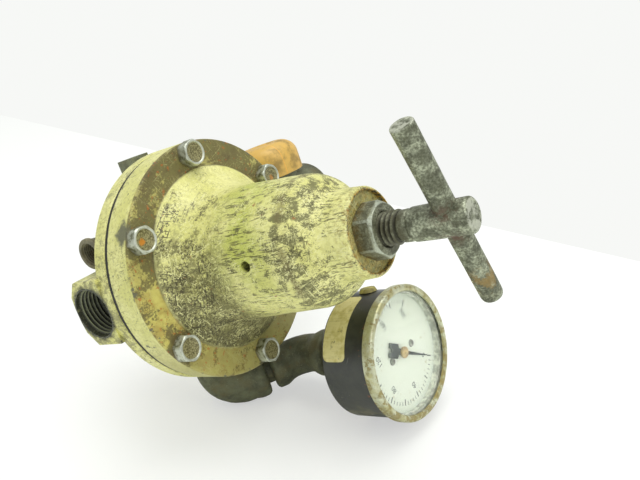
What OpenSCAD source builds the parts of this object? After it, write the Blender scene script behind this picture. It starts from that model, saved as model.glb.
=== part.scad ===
// Spring-loaded diaphragm pressure regulator with a T-handle screw, pressure gauge and pipe fittings,
// lying on its gauge and elbows. Millimetres.
//
// Every piece is drawn in the regulator's own axes:
//   X  towards the inlet port,  Y  towards the gauge port,  Z  out along the adjusting screw,
//   origin on the bonnet flange's front face, on the screw axis.
// lay_down() then turns the whole assembly into the pose in which it lies on a table (+Z up).

/* [Lying pose] */
// Rise of the screw axis above the table, degrees
lie_rise = 16.6; // [0:0.1:40]
// Roll of the regulator about the table's X axis, degrees
lie_roll = 0; // [-30:0.1:30]
// Shift along X that puts the origin under the middle
lie_x = -21.76; // [-100:0.01:100]
// Shift along Y that puts the origin under the middle
lie_y = -27; // [-100:0.1:100]
// Height of the flange centre above the table
lie_z = 79.24; // [40:0.01:140]

/* [Flanges] */
// Outside diameter of both flanges
flange_d = 100; // [92:0.5:120]
// Thickness of the bonnet flange
bonnet_flange_t = 12.7; // [9:0.1:16]
// Thickness of the body flange
body_flange_t = 6.7; // [5:0.1:10]
// Radius of the tower's skirt where it meets the bonnet flange
skirt_r = 38.5; // [36.5:0.1:39]
// Height of the skirt's edge step
skirt_step = 1; // [0.4:0.1:2]
// Thickness of the diaphragm
diaphragm_t = 1.6; // [1:0.1:3]
// Depth of the pressure chamber under the diaphragm
chamber_depth = 3; // [1.5:0.1:3.5]

/* [Bolts] */
// Number of flange bolts
bolt_count = 6; // [4:1:8]
// Radius of the bolt circle
bolt_circle_r = 45; // [43.5:0.1:45.5]
// Bolt thread diameter
bolt_d = 6; // [5:0.1:6.5]
// Bolt head size across its flats
bolt_af = 10; // [8.5:0.1:11]
// Bolt head height
bolt_head_h = 4.9; // [3.5:0.1:7]

/* [Bonnet] */
// Radius of the spring tower where it leaves the skirt
tower_base_r = 27; // [25.5:0.1:29]
// Radius of the spring tower under its shoulder
tower_top_r = 25.4; // [24:0.1:27]
// Height at which the shoulder starts
shoulder_z = 51; // [48:0.5:55]
// Radius of the neck boss
neck_r = 17; // [16.2:0.1:18.5]
// Height of the neck's end face
neck_z = 74.7; // [72:0.1:80]
// Radius of the recess that the lock nut sits in
recess_r = 15; // [13:0.1:15.5]
// Depth of the nut recess
recess_depth = 2.3; // [1:0.1:4]
// Radius of the spring chamber
spring_bore_r = 21.5; // [20.5:0.1:22.5]
// Diameter of the vent hole
vent_d = 4.3; // [2:0.1:6]
// Height of the vent hole above the flange face
vent_z = 34.7; // [25:0.1:45]
// Direction of the vent hole round the tower, degrees from the inlet
vent_turn = -5; // [-180:1:180]

/* [Adjusting screw] */
// Diameter of the screw
screw_d = 12.6; // [11:0.1:13.4]
// Height of the screw's outer end
screw_end_z = 113.7; // [110:0.1:125]
// Diameter of the handle bar
bar_d = 8.5; // [6:0.1:9]
// Height of the handle bar's axis
bar_z = 105.4; // [96:0.1:106]
// Length of the bar on its longer side
bar_long = 38.1; // [25:0.1:60]
// Length of the bar on its shorter side
bar_short = 36.4; // [25:0.1:60]
// Direction of the bar's longer side, degrees from the inlet
bar_turn = -70; // [-180:1:180]
// Lock nut size across its flats
nut_af = 19; // [17:0.1:21]
// Lock nut thickness
nut_h = 8; // [6:0.1:12]

/* [Spring column] */
// Height of the spring button's top face
button_z = 52; // [48:0.1:52.5]
// Thickness of the spring button
button_t = 6; // [4:0.1:8]
// Outer radius of the range spring
range_spring_r = 18.4; // [16:0.1:19]
// Wire diameter of the range spring
range_wire_d = 4; // [3:0.1:4.5]
// Turns of the range spring
range_turns = 6; // [4:0.5:8]
// Radius of the diaphragm plate
plate_r = 30; // [24:0.1:31.5]
// Thickness of the diaphragm plate
plate_t = 3; // [2:0.1:4]
// Diameter of the diaphragm stud
stud_d = 8; // [6:0.1:9]
// Radius of the foot under the diaphragm
foot_r = 10; // [8:0.1:10.5]
// Thickness of the foot under the diaphragm
foot_t = 2.5; // [1.5:0.1:2.8]

/* [Valve] */
// Radius of the hole through the valve seat
seat_bore_r = 5.5; // [4:0.1:6]
// Radius of the valve disc
disc_r = 8; // [7.4:0.1:8.4]
// Diameter of the valve stem
stem_d = 4.4; // [3:0.1:5]
// Travel of the valve
valve_travel = 1.5; // [0.5:0.1:2]
// Wire diameter of the valve spring
valve_wire_d = 1.4; // [1:0.1:1.8]
// Turns of the valve spring
valve_turns = 4; // [3:0.5:5]
// Bottom cap size across its flats
cap_af = 30; // [28:0.1:36]

/* [Body ports] */
// Distance from the screw axis to the inlet and outlet faces
port_reach = 49.8; // [46:0.1:55]
// Height of the inlet and outlet axis (below the flange face)
port_z = -29.5; // [-31:0.1:-29]
// Radius of the inlet and outlet threads
port_r = 10.2; // [8.5:0.1:10.6]
// Depth of the inlet and outlet threads
port_depth = 19; // [14:0.1:19.5]
// Half the width of the inlet and outlet bosses
boss_half_w = 13.6; // [13:0.1:16]
// Level of the underside of the inlet and outlet bosses
boss_low_z = -40.2; // [-44:0.1:-40]
// Distance from the screw axis to the gauge and plug port faces
side_reach = 42; // [38:0.1:44]
// Height of the gauge and plug ports' axis
side_z = -33; // [-34:0.1:-32]
// Radius of the gauge and plug port threads
side_r = 6.8; // [5:0.1:7]
// Radius of the gauge and plug port bosses
side_boss_r = 11; // [10:0.1:12]
// Level of the body's bottom face
body_low_z = -58; // [-64:0.5:-57]

/* [Small fittings] */
// Side of the plug's square head
plug_sq = 9.5; // [8:0.1:11]
// Height of the plug's square head
plug_head_h = 7; // [5:0.1:9]
// Distance of the side tap from the screw axis
tap_x = 33.4; // [33:0.1:40]
// Gap between the body flange and the small elbow
tap_gap = 0.3; // [0.2:0.1:1]
// Thread radius of the side tap
tap_r = 4.7; // [3.8:0.1:5]
// Outer radius of the small elbow's open end
small_elbow_r = 6.6; // [6:0.1:7.5]
// Reach of the small elbow from the boss to its turned axis
small_elbow_out = 8.2; // [8:0.1:14]
// Reach of the small elbow's open leg
small_elbow_len = 8.5; // [8.5:0.1:14]

/* [Outlet tee] */
// Gap between the outlet face and the tee, over the nipple
tee_gap = 2.2; // [0.6:0.1:6]
// Half the length of the tee's run
tee_half = 26; // [24:0.1:32]
// Reach of the tee's branch
tee_branch = 28; // [27:0.1:36]
// Radius of the tee's bands
tee_band_r = 15.6; // [14.8:0.1:17]
// Width of the tee's bands
tee_band_w = 9; // [6:0.1:11]
// Radius of the tee's barrel
tee_barrel_r = 13.6; // [12.5:0.1:14.4]
// Room between the thread cap and the bands of the tee
thread_cap_room = 0.5; // [0.4:0.1:4]
// Gap between the thread cap's skirt and the bands of the tee's run
thread_cap_gap = 0.4; // [0.3:0.1:4]
// Wall of the thread cap
thread_cap_wall = 1.4; // [1:0.1:2]

/* [Gauge fittings] */
// Distance from the screw axis to the gauge elbow's centre
elbow_reach = 63.2; // [61:0.1:70]
// Angle of the elbow's free leg from the screw axis, degrees
leg_turn = 48.9; // [40:0.1:60]
// Distance between the centres of the elbow and the bent fitting
leg_len = 40.4; // [39.5:0.1:48]
// Radius of the elbow's body
elbow_r = 11; // [10:0.1:11.5]
// Radius of the elbow's band
elbow_band_r = 12; // [11.6:0.1:13]
// Distance from the elbow's centre to its band's end
elbow_end = 19.4; // [18:0.1:20]
// Radius of the bent fitting's body
bend_body_r = 9.2; // [8.6:0.1:10]
// Radius of the bent fitting's bands
bend_band_r = 11; // [10.2:0.1:12]
// Distance from the bent fitting's centre to its band's end
bend_end = 18; // [17:0.1:19]
// Turn of the gauge about its port, degrees
gauge_yaw = 3.2; // [0:0.1:6]
// Distance from the bent fitting's centre to the gauge's front
gauge_reach = 61.6; // [60:0.1:66]

/* [Gauge] */
// Radius of the case
case_r = 27.4; // [26.6:0.1:29]
// How far the bezel stands out round the case
bezel_stand = 1.6; // [1.4:0.1:2.4]
// Depth of the gauge from its front to its back
gauge_depth = 27.5; // [27:0.1:32]
// Wall of the case
case_wall = 1.2; // [0.8:0.1:1.6]
// Width of the bezel's front rim
bezel_rim = 3; // [2:0.1:3.2]
// Thickness of the lens
lens_t = 1.4; // [1:0.1:1.8]
// Length of the pointer
pointer_len = 19; // [14:0.1:23]
// Direction of the pointer at zero, degrees from the inlet
zero_turn = 146.7; // [-180:0.1:180]
// Teeth of the pinion
pinion_teeth = 10; // [8:1:12]
// Gear module of the movement
gear_module = 0.35; // [0.3:0.01:0.36]
// Start of the case sticker, degrees from the inlet
sticker_turn = -86; // [-180:1:180]
// Angle that the case sticker covers
sticker_angle = 65; // [40:1:140]
// Width of the case sticker
sticker_w = 10; // [6:0.1:14]
// Direction of the blow-out plug, degrees from the inlet
relief_turn = -100; // [-180:1:180]

/* [Hidden] */
$fn = 64;
// Radial clearances
run_clear = 0.05;     // a running fit
fit_clear = 0.05;     // a screwed or pressed fit inside one body
free_clear = 0.4;     // faces of different bodies that must not touch
cut = 0.5;            // overshoot of a cutting tool

// ---- levels of the stack, from the bonnet face downwards
bonnet_low_z = -bonnet_flange_t;
body_top_z = bonnet_low_z - diaphragm_t;
body_flange_z = body_top_z - body_flange_t;
chamber_low_z = body_top_z - chamber_depth;
flange_r = flange_d / 2;
bolt_hole_r = bolt_d / 2 + 0.3;
bolt_tap_r = bolt_d / 2 + fit_clear;
bolt_grip = bonnet_flange_t + diaphragm_t + body_flange_t - 0.7;

// ---- bonnet
skirt_z = 19;
dome_z = shoulder_z + 13;
upper_chamber_r = 36;
upper_chamber_h = bonnet_flange_t - 2.5;
spring_roof_z = shoulder_z + 4;
nut_seat_z = neck_z - recess_depth;

// ---- spring column
plate_z = bonnet_low_z;
plate_top_z = plate_z + plate_t;
button_low_z = button_z - button_t;
socket_depth = 2;
screw_tip_z = button_z - socket_depth;
stud_r = stud_d / 2;
stud_top_z = plate_top_z + 6.5;
stud_nut_h = 5;
foot_z = body_top_z - foot_t;
spring_step = 15;      // degrees between rings of a spring's wire

// ---- valve, from the web that carries the seat
web_top_z = port_z - 1.5;
web_low_z = web_top_z - 6;
upper_bore_r = 11;
seat_r = 8.9;
seat_head_h = 3;
lip_h = 1;
lip_low_z = web_low_z - seat_head_h - lip_h;
disc_t = 3;
plug_r = disc_r + 1.2;
plug_cup_depth = 2;
plug_top_z = lip_low_z - disc_t + plug_cup_depth;
plug_low_z = plug_top_z - 7;
lower_bore_r = 12.4;
cap_thread_r = 14;
cap_thread_h = 7;
cap_pocket_r = plug_r + 1;
cap_pocket_z = body_low_z - 5;
guide_r = 4;
guide_low_z = cap_pocket_z - 2;
gasket_t = 1.2;
cap_head_z = body_low_z - gasket_t;
cap_head_h = 11;
barrel_r = 20;

// ---- pipe fittings
side_depth = 12;
side_tail_r = side_r - fit_clear;
port_tail_r = port_r - fit_clear;
duct_r = 4.2;
side_duct_r = 2;
tap_depth = 3;
tap_z = body_flange_z - small_elbow_r - tap_gap;
tap_duct_r = 2.6;
tee_near_x = -(port_reach + tee_gap);
tee_x = tee_near_x - tee_half;
tee_thread_depth = 14;
thread_cap_skirt = tee_branch - tee_band_r - thread_cap_gap;
thread_cap_r = tee_band_r + thread_cap_room + thread_cap_wall;
tee_bore_r = 8;
pipe_bore_r = 4.4;
nipple_end = 12;
leg_dir = [-sin(leg_turn), 0, cos(leg_turn)];
elbow_pos = [0, elbow_reach, side_z];
bend_pos = elbow_pos + leg_len * leg_dir;
gauge_dir = [sin(gauge_yaw), 0, cos(gauge_yaw)];
gauge_pos = bend_pos + gauge_reach * gauge_dir;

// ---- gauge levels, from its front plane backwards
rim_t = 1.2;
lens_low = -rim_t - lens_t;
gasket_low = lens_low - 0.4;
lip_t = 1.2;
bezel_r = case_r + bezel_stand;
lip_r = bezel_r - 0.4;
bezel_skirt_low = gasket_low - lip_t - 0.4;
case_in_r = case_r - case_wall;
dial_front = gasket_low - 2.4;
dial_t = 0.6;
back_t = 1.5;
back_in = -gauge_depth + back_t;
block_top = back_in + 6.5;
plate_low = block_top;
plate_th = 0.9;
plate_gap = 6;
plate_high = plate_low + plate_th + plate_gap;
gear_z = plate_low + plate_th + 2.2;
gear_t = 1.2;
sector_ratio = 7.5;
pinion_pitch_r = gear_module * pinion_teeth / 2;
sector_pitch_r = pinion_pitch_r * sector_ratio;
sector_pos = [0, -(pinion_pitch_r + sector_pitch_r), 0];
arbor_r = 0.6;
tube_r = 19;
tube_w = 3;
tube_h = 5.4;
tube_z = block_top - 5.8;
tube_end_turn = 205;
tip_r = tube_r - 4.2;
tail_len = 5.5;
link_z = gear_z + gear_t + 0.3;
post_r = 0.9;
dial_post = [8, 2];
lower_post = [8.9, sector_pos[1] - 1.8];
socket_neck_r = 5.8;
relief_z = bezel_skirt_low - 11.4;

function arc(cx, cy, r, a0, a1, n) =
    [for (i = [0:n]) let (a = a0 + (a1 - a0) * i / n) [cx + r * cos(a), cy + r * sin(a)]];

// Places the regulator's own axes in the lying pose
module lay_down() {
    translate([lie_x, lie_y, lie_z])
        rotate([lie_roll, 0, 0])
            rotate([0, 90 - lie_rise, 0])
                rotate([0, 0, -90])
                    children();
}

module at_bolts() {
    for (i = [0:bolt_count - 1])
        rotate(-90 + i * 360 / bolt_count)
            translate([bolt_circle_r, 0, 0])
                children();
}

module hexagon(af) {
    circle(r = af / sqrt(3), $fn = 6);
}

// Hexagon whose corners are turned off on top
module hex_head(af, h) {
    corner = af / sqrt(3);
    intersection() {
        linear_extrude(h) hexagon(af);
        union() {
            cylinder(r = corner + 1, h = h * 0.8);
            translate([0, 0, h * 0.8]) cylinder(r1 = corner + 0.02, r2 = corner - h * 0.2 * 1.7, h = h * 0.2);
        }
    }
}

// Round bar bent by angle, its legs meeting at the origin: it comes in along +Z and leaves towards +X
module bent_bar(angle, bend_r, r, len_in, len_out) {
    tangent = bend_r * tan(angle / 2);
    translate([0, 0, -len_in]) cylinder(r = r, h = len_in - tangent + 0.001);
    translate([bend_r, 0, -tangent]) rotate([90, 0, 0]) rotate([0, 0, 180 - angle])
        rotate_extrude(angle = angle) translate([bend_r, 0]) circle(r = r);
    rotate([0, angle, 0]) translate([0, 0, tangent - 0.001]) cylinder(r = r, h = len_out - tangent + 0.001);
}

// Ring of rounded edge round a pipe end, standing on Z = 0
module band(r, w) {
    e = 1.1;
    rotate_extrude() polygon([[0, 0], [r - e, 0], [r - 0.3, 0.3], [r, e], [r, w - e], [r - 0.3, w - 0.3],
        [r - e, w], [0, w]]);
}

// Coil of round wire, its centre line from z0 to z1
module coil(r, wire_r, z0, z1, turns) {
    n = ceil(turns * 360 / spring_step);
    sides = 6;
    climb = (z1 - z0) / (turns * 2 * PI * r);
    tilt = atan(climb);
    points = [for (i = [0:n], k = [0:sides - 1]) let (
        a = turns * 360 * i / n,
        b = 360 * k / sides,
        u = wire_r * cos(b),
        v = wire_r * sin(b)
    ) [
        (r + u) * cos(a) + v * sin(tilt) * sin(a),
        (r + u) * sin(a) - v * sin(tilt) * cos(a),
        z0 + (z1 - z0) * i / n + v * cos(tilt)
    ]];
    sides_faces = [for (i = [0:n - 1], k = [0:sides - 1]) let (
        a = i * sides + k,
        b = i * sides + (k + 1) % sides
    ) each [[a, a + sides, b + sides], [a, b + sides, b]]];
    ends = [
        for (k = [1:sides - 2]) each [[0, k, k + 1], [n * sides, n * sides + k + 1, n * sides + k]]
    ];
    polyhedron(points, concat(sides_faces, ends), convexity = 10);
}

// ======== regulator ========

module flange_disc(r, t, edge) {
    rotate_extrude() polygon(concat([[0, 0], [r - edge, 0]], arc(r - edge, edge, edge, -90, 0, 3),
        arc(r - edge, t - edge, edge, 0, 90, 3), [[0, t]]));
}

// Half-width section of an inlet or outlet boss, with cut corners, from the underside up to a level
function boss_section(w, low, high) = [
    [-w, high], [-w, low + 5.4], [-w + 5.8, low + 0.7], [-3, low],
    [3, low], [w - 5.8, low + 0.7], [w, low + 5.4], [w, high]
];

module port_boss(turn) {
    rotate(turn) rotate([90, 0, 90])
        linear_extrude(port_reach) polygon(boss_section(boss_half_w, boss_low_z, body_flange_z + 1));
}

module body() {
    color("#d3cf9a") difference() {
        union() {
            translate([0, 0, body_flange_z]) flange_disc(flange_r, body_flange_t, 0.8);
            translate([0, 0, body_flange_z - 8]) cylinder(r1 = barrel_r, r2 = barrel_r + 10, h = 8.01);
            translate([0, 0, body_low_z]) cylinder(r = barrel_r, h = body_flange_z - body_low_z + 1);
            port_boss(0);
            port_boss(180);
            for (s = [-1, 1]) translate([0, 0, side_z]) rotate([-90 * s, 0, 0]) {
                cylinder(r = side_boss_r, h = side_reach - 1);
                translate([0, 0, side_reach - 1]) cylinder(r1 = side_boss_r, r2 = side_boss_r - 0.8, h = 1);
            }
        }
        // chamber under the diaphragm, and the bolts' tapped holes
        translate([0, 0, chamber_low_z]) cylinder(r = upper_chamber_r, h = chamber_depth + cut);
        at_bolts() translate([0, 0, body_flange_z - cut])
            cylinder(r = bolt_tap_r, h = body_flange_t + 2 * cut);
        // valve bores
        translate([0, 0, web_top_z]) cylinder(r = upper_bore_r, h = chamber_low_z - web_top_z + cut);
        translate([0, 0, web_low_z - cut])
            cylinder(r = seat_r + fit_clear, h = web_top_z - web_low_z + 2 * cut);
        translate([0, 0, body_low_z + cap_thread_h])
            cylinder(r = lower_bore_r, h = web_low_z - body_low_z - cap_thread_h);
        translate([0, 0, body_low_z - cut]) cylinder(r = cap_thread_r, h = cap_thread_h + cut);
        // inlet and outlet threads with their ducts
        for (turn = [0, 180]) rotate(turn) translate([port_reach - port_depth, 0, port_z]) rotate([0, 90, 0])
            cylinder(r = port_r, h = port_depth + cut);
        translate([port_reach - port_depth + 2, 0, port_z - 4]) rotate([0, -120, 0])
            cylinder(r = duct_r, h = 27);
        translate([0, 0, (web_top_z + chamber_low_z) / 2]) rotate([0, -90, 0])
            cylinder(r = duct_r, h = port_reach - port_depth + 1);
        // gauge and plug ports with their ducts
        for (s = [-1, 1]) {
            translate([0, 0, side_z]) rotate([-90 * s, 0, 0]) translate([0, 0, side_reach - side_depth])
                cylinder(r = side_r, h = side_depth + cut);
            translate([0, 0, web_top_z + side_duct_r + 0.5]) rotate([-90 * s, 0, 0])
                cylinder(r = side_duct_r, h = side_reach - side_depth + 1);
        }
        // side tap of the inlet boss
        translate([tap_x, -boss_half_w + tap_depth, tap_z]) rotate([90, 0, 0]) {
            cylinder(r = tap_r, h = tap_depth + cut);
            translate([0, 0, -port_r]) cylinder(r = tap_duct_r, h = port_r + 1);
        }
    }
}

// Concave fillet from the skirt's step to the tower
skirt_run = skirt_r - 0.7 - tower_base_r;
skirt_climb = skirt_z - skirt_step;
skirt_fillet = (skirt_run * skirt_run + skirt_climb * skirt_climb) / (2 * skirt_run);
skirt_start = -acos((skirt_run - skirt_fillet) / skirt_fillet);

// Outline of the bonnet from its skirt to its neck
function tower_profile() = concat(
    [[skirt_r, 0], [skirt_r - 0.3, skirt_step * 0.8]],
    arc(tower_base_r + skirt_fillet, skirt_z, skirt_fillet, skirt_start, -180, 8),
    [[tower_top_r, shoulder_z]],
    [[tower_top_r - 0.9, shoulder_z + 3.6], [tower_top_r - 3, shoulder_z + 7.6]],
    [[neck_r + 2, shoulder_z + 11], [neck_r + 0.4, dome_z], [neck_r, dome_z + 3]],
    [[neck_r - 0.5, neck_z - 1], [neck_r - 1.1, neck_z - 0.3], [neck_r - 1.6, neck_z]]
);

module bonnet() {
    color("#cfcb92") difference() {
        union() {
            translate([0, 0, bonnet_low_z]) flange_disc(flange_r, bonnet_flange_t, 1.1);
            rotate_extrude() polygon(concat([[0, -1], [skirt_r, -1]], tower_profile(), [[0, neck_z]]));
        }
        translate([0, 0, bonnet_low_z - cut]) cylinder(r = upper_chamber_r, h = upper_chamber_h + cut);
        translate([0, 0, bonnet_low_z]) cylinder(r = spring_bore_r, h = spring_roof_z - bonnet_low_z);
        translate([0, 0, bonnet_low_z])
            cylinder(r = screw_d / 2 + run_clear, h = neck_z - bonnet_low_z + cut);
        translate([0, 0, nut_seat_z]) cylinder(r = recess_r, h = recess_depth + cut);
        at_bolts() translate([0, 0, bonnet_low_z - cut])
            cylinder(r = bolt_hole_r, h = bonnet_flange_t + 2 * cut);
        rotate(vent_turn) translate([0, 0, vent_z]) rotate([0, 90, 0])
            cylinder(r = vent_d / 2, h = tower_base_r + 5);
    }
}

module bonnet_bolts() {
    color("#a9a999") at_bolts() {
        hex_head(bolt_af, bolt_head_h);
        translate([0, 0, -bolt_grip]) cylinder(r = bolt_d / 2, h = bolt_grip + 0.01);
    }
}

module diaphragm() {
    color("#2c2b28") difference() {
        translate([0, 0, body_top_z]) cylinder(r = flange_r - 0.5, h = diaphragm_t);
        translate([0, 0, body_top_z - cut]) cylinder(r = stud_r + free_clear, h = diaphragm_t + 2 * cut);
        at_bolts() translate([0, 0, body_top_z - cut]) cylinder(r = bolt_hole_r, h = diaphragm_t + 2 * cut);
    }
}

module diaphragm_plate() {
    color("#8f8f86") difference() {
        union() {
            translate([0, 0, plate_z]) cylinder(r = plate_r, h = plate_t);
            translate([0, 0, plate_top_z]) cylinder(r1 = range_spring_r - range_wire_d - 0.6,
                r2 = range_spring_r - range_wire_d - 1.4, h = 2.4);
        }
        translate([0, 0, plate_z - cut]) cylinder(r = stud_r + fit_clear, h = plate_t + 4);
        translate([0, 0, plate_top_z]) cylinder(r = 9, h = 4);
    }
}

module diaphragm_stud() {
    color("#b9a25c") {
        translate([0, 0, foot_z]) cylinder(r = foot_r, h = foot_t);
        translate([0, 0, foot_z]) cylinder(r = stud_r, h = stud_top_z - foot_z);
    }
}

module stud_nut() {
    color("#9b9b90") translate([0, 0, plate_top_z]) difference() {
        hex_head(13, stud_nut_h);
        translate([0, 0, -cut]) cylinder(r = stud_r + fit_clear, h = stud_nut_h + 2 * cut);
    }
}

module range_spring() {
    color("#55564d") coil(range_spring_r - range_wire_d / 2, range_wire_d / 2,
        plate_top_z + range_wire_d / 2 + 0.1, button_low_z - range_wire_d / 2 - 0.1, range_turns);
}

module spring_button() {
    color("#87877c") difference() {
        union() {
            translate([0, 0, button_low_z]) cylinder(r = spring_bore_r - 1.2, h = button_t);
            translate([0, 0, button_low_z - 3]) cylinder(r = range_spring_r - range_wire_d - 0.8, h = 3.01);
        }
        translate([0, 0, screw_tip_z]) cylinder(r = screw_d / 2 + free_clear, h = socket_depth + cut);
    }
}

module adjusting_screw() {
    r = screw_d / 2;
    color("#6b6c5f") difference() {
        union() {
            translate([0, 0, screw_tip_z]) cylinder(r1 = r - 1.2, r2 = r, h = 1.2);
            translate([0, 0, screw_tip_z + 1.19]) cylinder(r = r, h = screw_end_z - screw_tip_z - 2.18);
            translate([0, 0, screw_end_z - 1]) cylinder(r1 = r, r2 = r - 0.9, h = 1);
        }
        translate([0, 0, bar_z]) rotate([0, 90, bar_turn]) translate([0, 0, -screw_d])
            cylinder(r = bar_d / 2 + fit_clear, h = 2 * screw_d);
    }
}

module handle_bar() {
    r = bar_d / 2;
    e = 0.8;
    color("#64655a") translate([0, 0, bar_z]) rotate([0, 90, bar_turn]) translate([0, 0, -bar_short]) {
        cylinder(r1 = r - e, r2 = r, h = e);
        translate([0, 0, e - 0.001]) cylinder(r = r, h = bar_short + bar_long - 2 * e + 0.002);
        translate([0, 0, bar_short + bar_long - e]) cylinder(r1 = r, r2 = r - e, h = e);
    }
}

module lock_nut() {
    color("#74756a") translate([0, 0, nut_seat_z]) rotate(23) difference() {
        hex_head(nut_af, nut_h);
        translate([0, 0, -cut]) cylinder(r = screw_d / 2 + run_clear, h = nut_h + 2 * cut);
    }
}

module valve_seat() {
    color("#c2a558") difference() {
        union() {
            translate([0, 0, web_low_z - 0.01]) cylinder(r = seat_r, h = web_top_z - web_low_z);
            translate([0, 0, web_low_z - seat_head_h]) linear_extrude(seat_head_h) hexagon(20);
            translate([0, 0, lip_low_z]) cylinder(r = seat_bore_r + 1.2, h = lip_h + 0.01);
        }
        translate([0, 0, lip_low_z - cut]) cylinder(r = seat_bore_r, h = web_top_z - lip_low_z + 2 * cut);
    }
}

module valve_plug() {
    color("#b89c50") difference() {
        union() {
            translate([0, 0, plug_low_z]) cylinder(r = plug_r, h = plug_top_z - plug_low_z);
            translate([0, 0, plug_low_z]) cylinder(r = stem_d / 2, h = foot_z - plug_low_z);
            translate([0, 0, guide_low_z]) cylinder(r = guide_r, h = plug_low_z - guide_low_z + 0.01);
        }
        translate([0, 0, plug_top_z - plug_cup_depth]) difference() {
            cylinder(r = disc_r + fit_clear, h = plug_cup_depth + cut);
            translate([0, 0, -cut]) cylinder(r = stem_d / 2, h = plug_cup_depth + 3 * cut);
        }
    }
}

module valve_disc() {
    color("#23221f") translate([0, 0, lip_low_z - disc_t]) difference() {
        cylinder(r = disc_r, h = disc_t);
        translate([0, 0, -cut]) cylinder(r = stem_d / 2 + fit_clear, h = disc_t + 2 * cut);
    }
}

module valve_spring() {
    color("#7c7d73") coil(plug_r - valve_wire_d / 2 - 0.4, valve_wire_d / 2,
        cap_pocket_z + valve_wire_d / 2 + 0.1, plug_low_z - valve_wire_d / 2 - 0.1, valve_turns);
}

module bottom_cap() {
    color("#b9a25c") difference() {
        union() {
            translate([0, 0, cap_head_z]) mirror([0, 0, 1]) hex_head(cap_af, cap_head_h);
            translate([0, 0, cap_head_z - 0.01]) cylinder(r = cap_thread_r - fit_clear,
                h = body_low_z + cap_thread_h - 1 - cap_head_z);
        }
        translate([0, 0, cap_pocket_z])
            cylinder(r = cap_pocket_r, h = body_low_z + cap_thread_h - cap_pocket_z);
        translate([0, 0, guide_low_z - valve_travel - 0.5]) cylinder(r = guide_r + run_clear,
            h = cap_pocket_z - guide_low_z + valve_travel + 1);
    }
}

module cap_gasket() {
    color("#33312c") translate([0, 0, cap_head_z]) difference() {
        cylinder(r = cap_thread_r + 2.4, h = gasket_t);
        translate([0, 0, -cut]) cylinder(r = cap_thread_r + 0.1, h = gasket_t + 2 * cut);
    }
}

// ======== pipe fittings ========

module port_plug() {
    tail = side_depth - 2;
    color("#4d4e44") translate([0, -side_reach, side_z]) rotate([90, 0, 0]) {
        translate([0, 0, -tail]) cylinder(r = side_tail_r, h = tail + 1.8);
        translate([0, 0, 1.79 + plug_head_h / 2]) cube([plug_sq, plug_sq, plug_head_h], center = true);
    }
}

module small_elbow() {
    out = small_elbow_out;
    body_r = small_elbow_r - 1;
    color("#6d6252") translate([tap_x, -boss_half_w - out, tap_z]) rotate([90, 0, 0]) difference() {
        union() {
            sphere(r = body_r);
            translate([0, 0, 3.4 - out]) cylinder(r = body_r, h = out - 3.4);
            translate([0, 0, 0.6 - out - tap_depth]) cylinder(r = tap_r - fit_clear, h = tap_depth + 4);
            rotate([0, 90, 0]) cylinder(r = body_r, h = small_elbow_len - 2);
            rotate([0, 90, 0]) translate([0, 0, small_elbow_len - 4]) band(small_elbow_r, 4);
        }
        rotate([0, 90, 0]) translate([0, 0, small_elbow_len - 6]) cylinder(r = tap_r, h = 6 + cut);
        rotate([0, 90, 0]) translate([0, 0, -1]) cylinder(r = tap_duct_r, h = small_elbow_len);
        translate([0, 0, -out - tap_depth]) cylinder(r = tap_duct_r, h = out + tap_depth);
    }
}

module outlet_nipple() {
    color("#5a5a4f") translate([-(port_reach - nipple_end), 0, port_z]) rotate([0, -90, 0]) difference() {
        cylinder(r = port_tail_r, h = 2 * nipple_end + tee_gap);
        translate([0, 0, -cut]) cylinder(r = tee_bore_r - 0.3, h = 2 * nipple_end + tee_gap + 2 * cut);
    }
}

module outlet_tee() {
    color("#3f403a") translate([tee_x, 0, port_z]) difference() {
        union() {
            rotate([0, 90, 0]) translate([0, 0, -tee_half + 1])
                cylinder(r = tee_barrel_r, h = 2 * tee_half - 2);
            rotate([90, 0, 0]) cylinder(r = tee_barrel_r, h = tee_branch - 1);
            for (turn = [0, 180]) rotate(turn) rotate([0, 90, 0]) translate([0, 0, tee_half - tee_band_w])
                band(tee_band_r, tee_band_w);
            rotate([90, 0, 0]) translate([0, 0, tee_branch - tee_band_w]) band(tee_band_r, tee_band_w);
        }
        rotate([0, 90, 0]) translate([0, 0, -tee_half - cut])
            cylinder(r = tee_bore_r, h = 2 * (tee_half + cut));
        rotate([90, 0, 0]) cylinder(r = tee_bore_r, h = tee_branch + cut);
        for (turn = [0, 180]) rotate(turn) rotate([0, 90, 0]) translate([0, 0, tee_half - tee_thread_depth])
            cylinder(r = port_r, h = tee_thread_depth + cut);
        rotate([90, 0, 0]) translate([0, 0, tee_branch - tee_thread_depth])
            cylinder(r = port_r, h = tee_thread_depth + cut);
    }
}

module thread_cap() {
    in_r = thread_cap_r - thread_cap_wall;
    top = 5;
    corner = 8;
    color("#e0a040") translate([tee_x, -tee_branch, port_z]) rotate([90, 0, 0]) {
        rotate_extrude() polygon(concat(
            [[0, 0], [in_r, 0], [in_r, -thread_cap_skirt], [thread_cap_r, -thread_cap_skirt]],
            arc(thread_cap_r - corner, top - corner, corner, 0, 90, 8),
            [[0, top]]
        ));
        // grip ribs between the skirt and the tee's band
        for (i = [0:7]) rotate(i * 45) translate([tee_band_r + free_clear, -0.6, -tee_band_w])
            cube([in_r - tee_band_r - free_clear + 0.4, 1.2, tee_band_w + 0.01]);
    }
}

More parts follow.
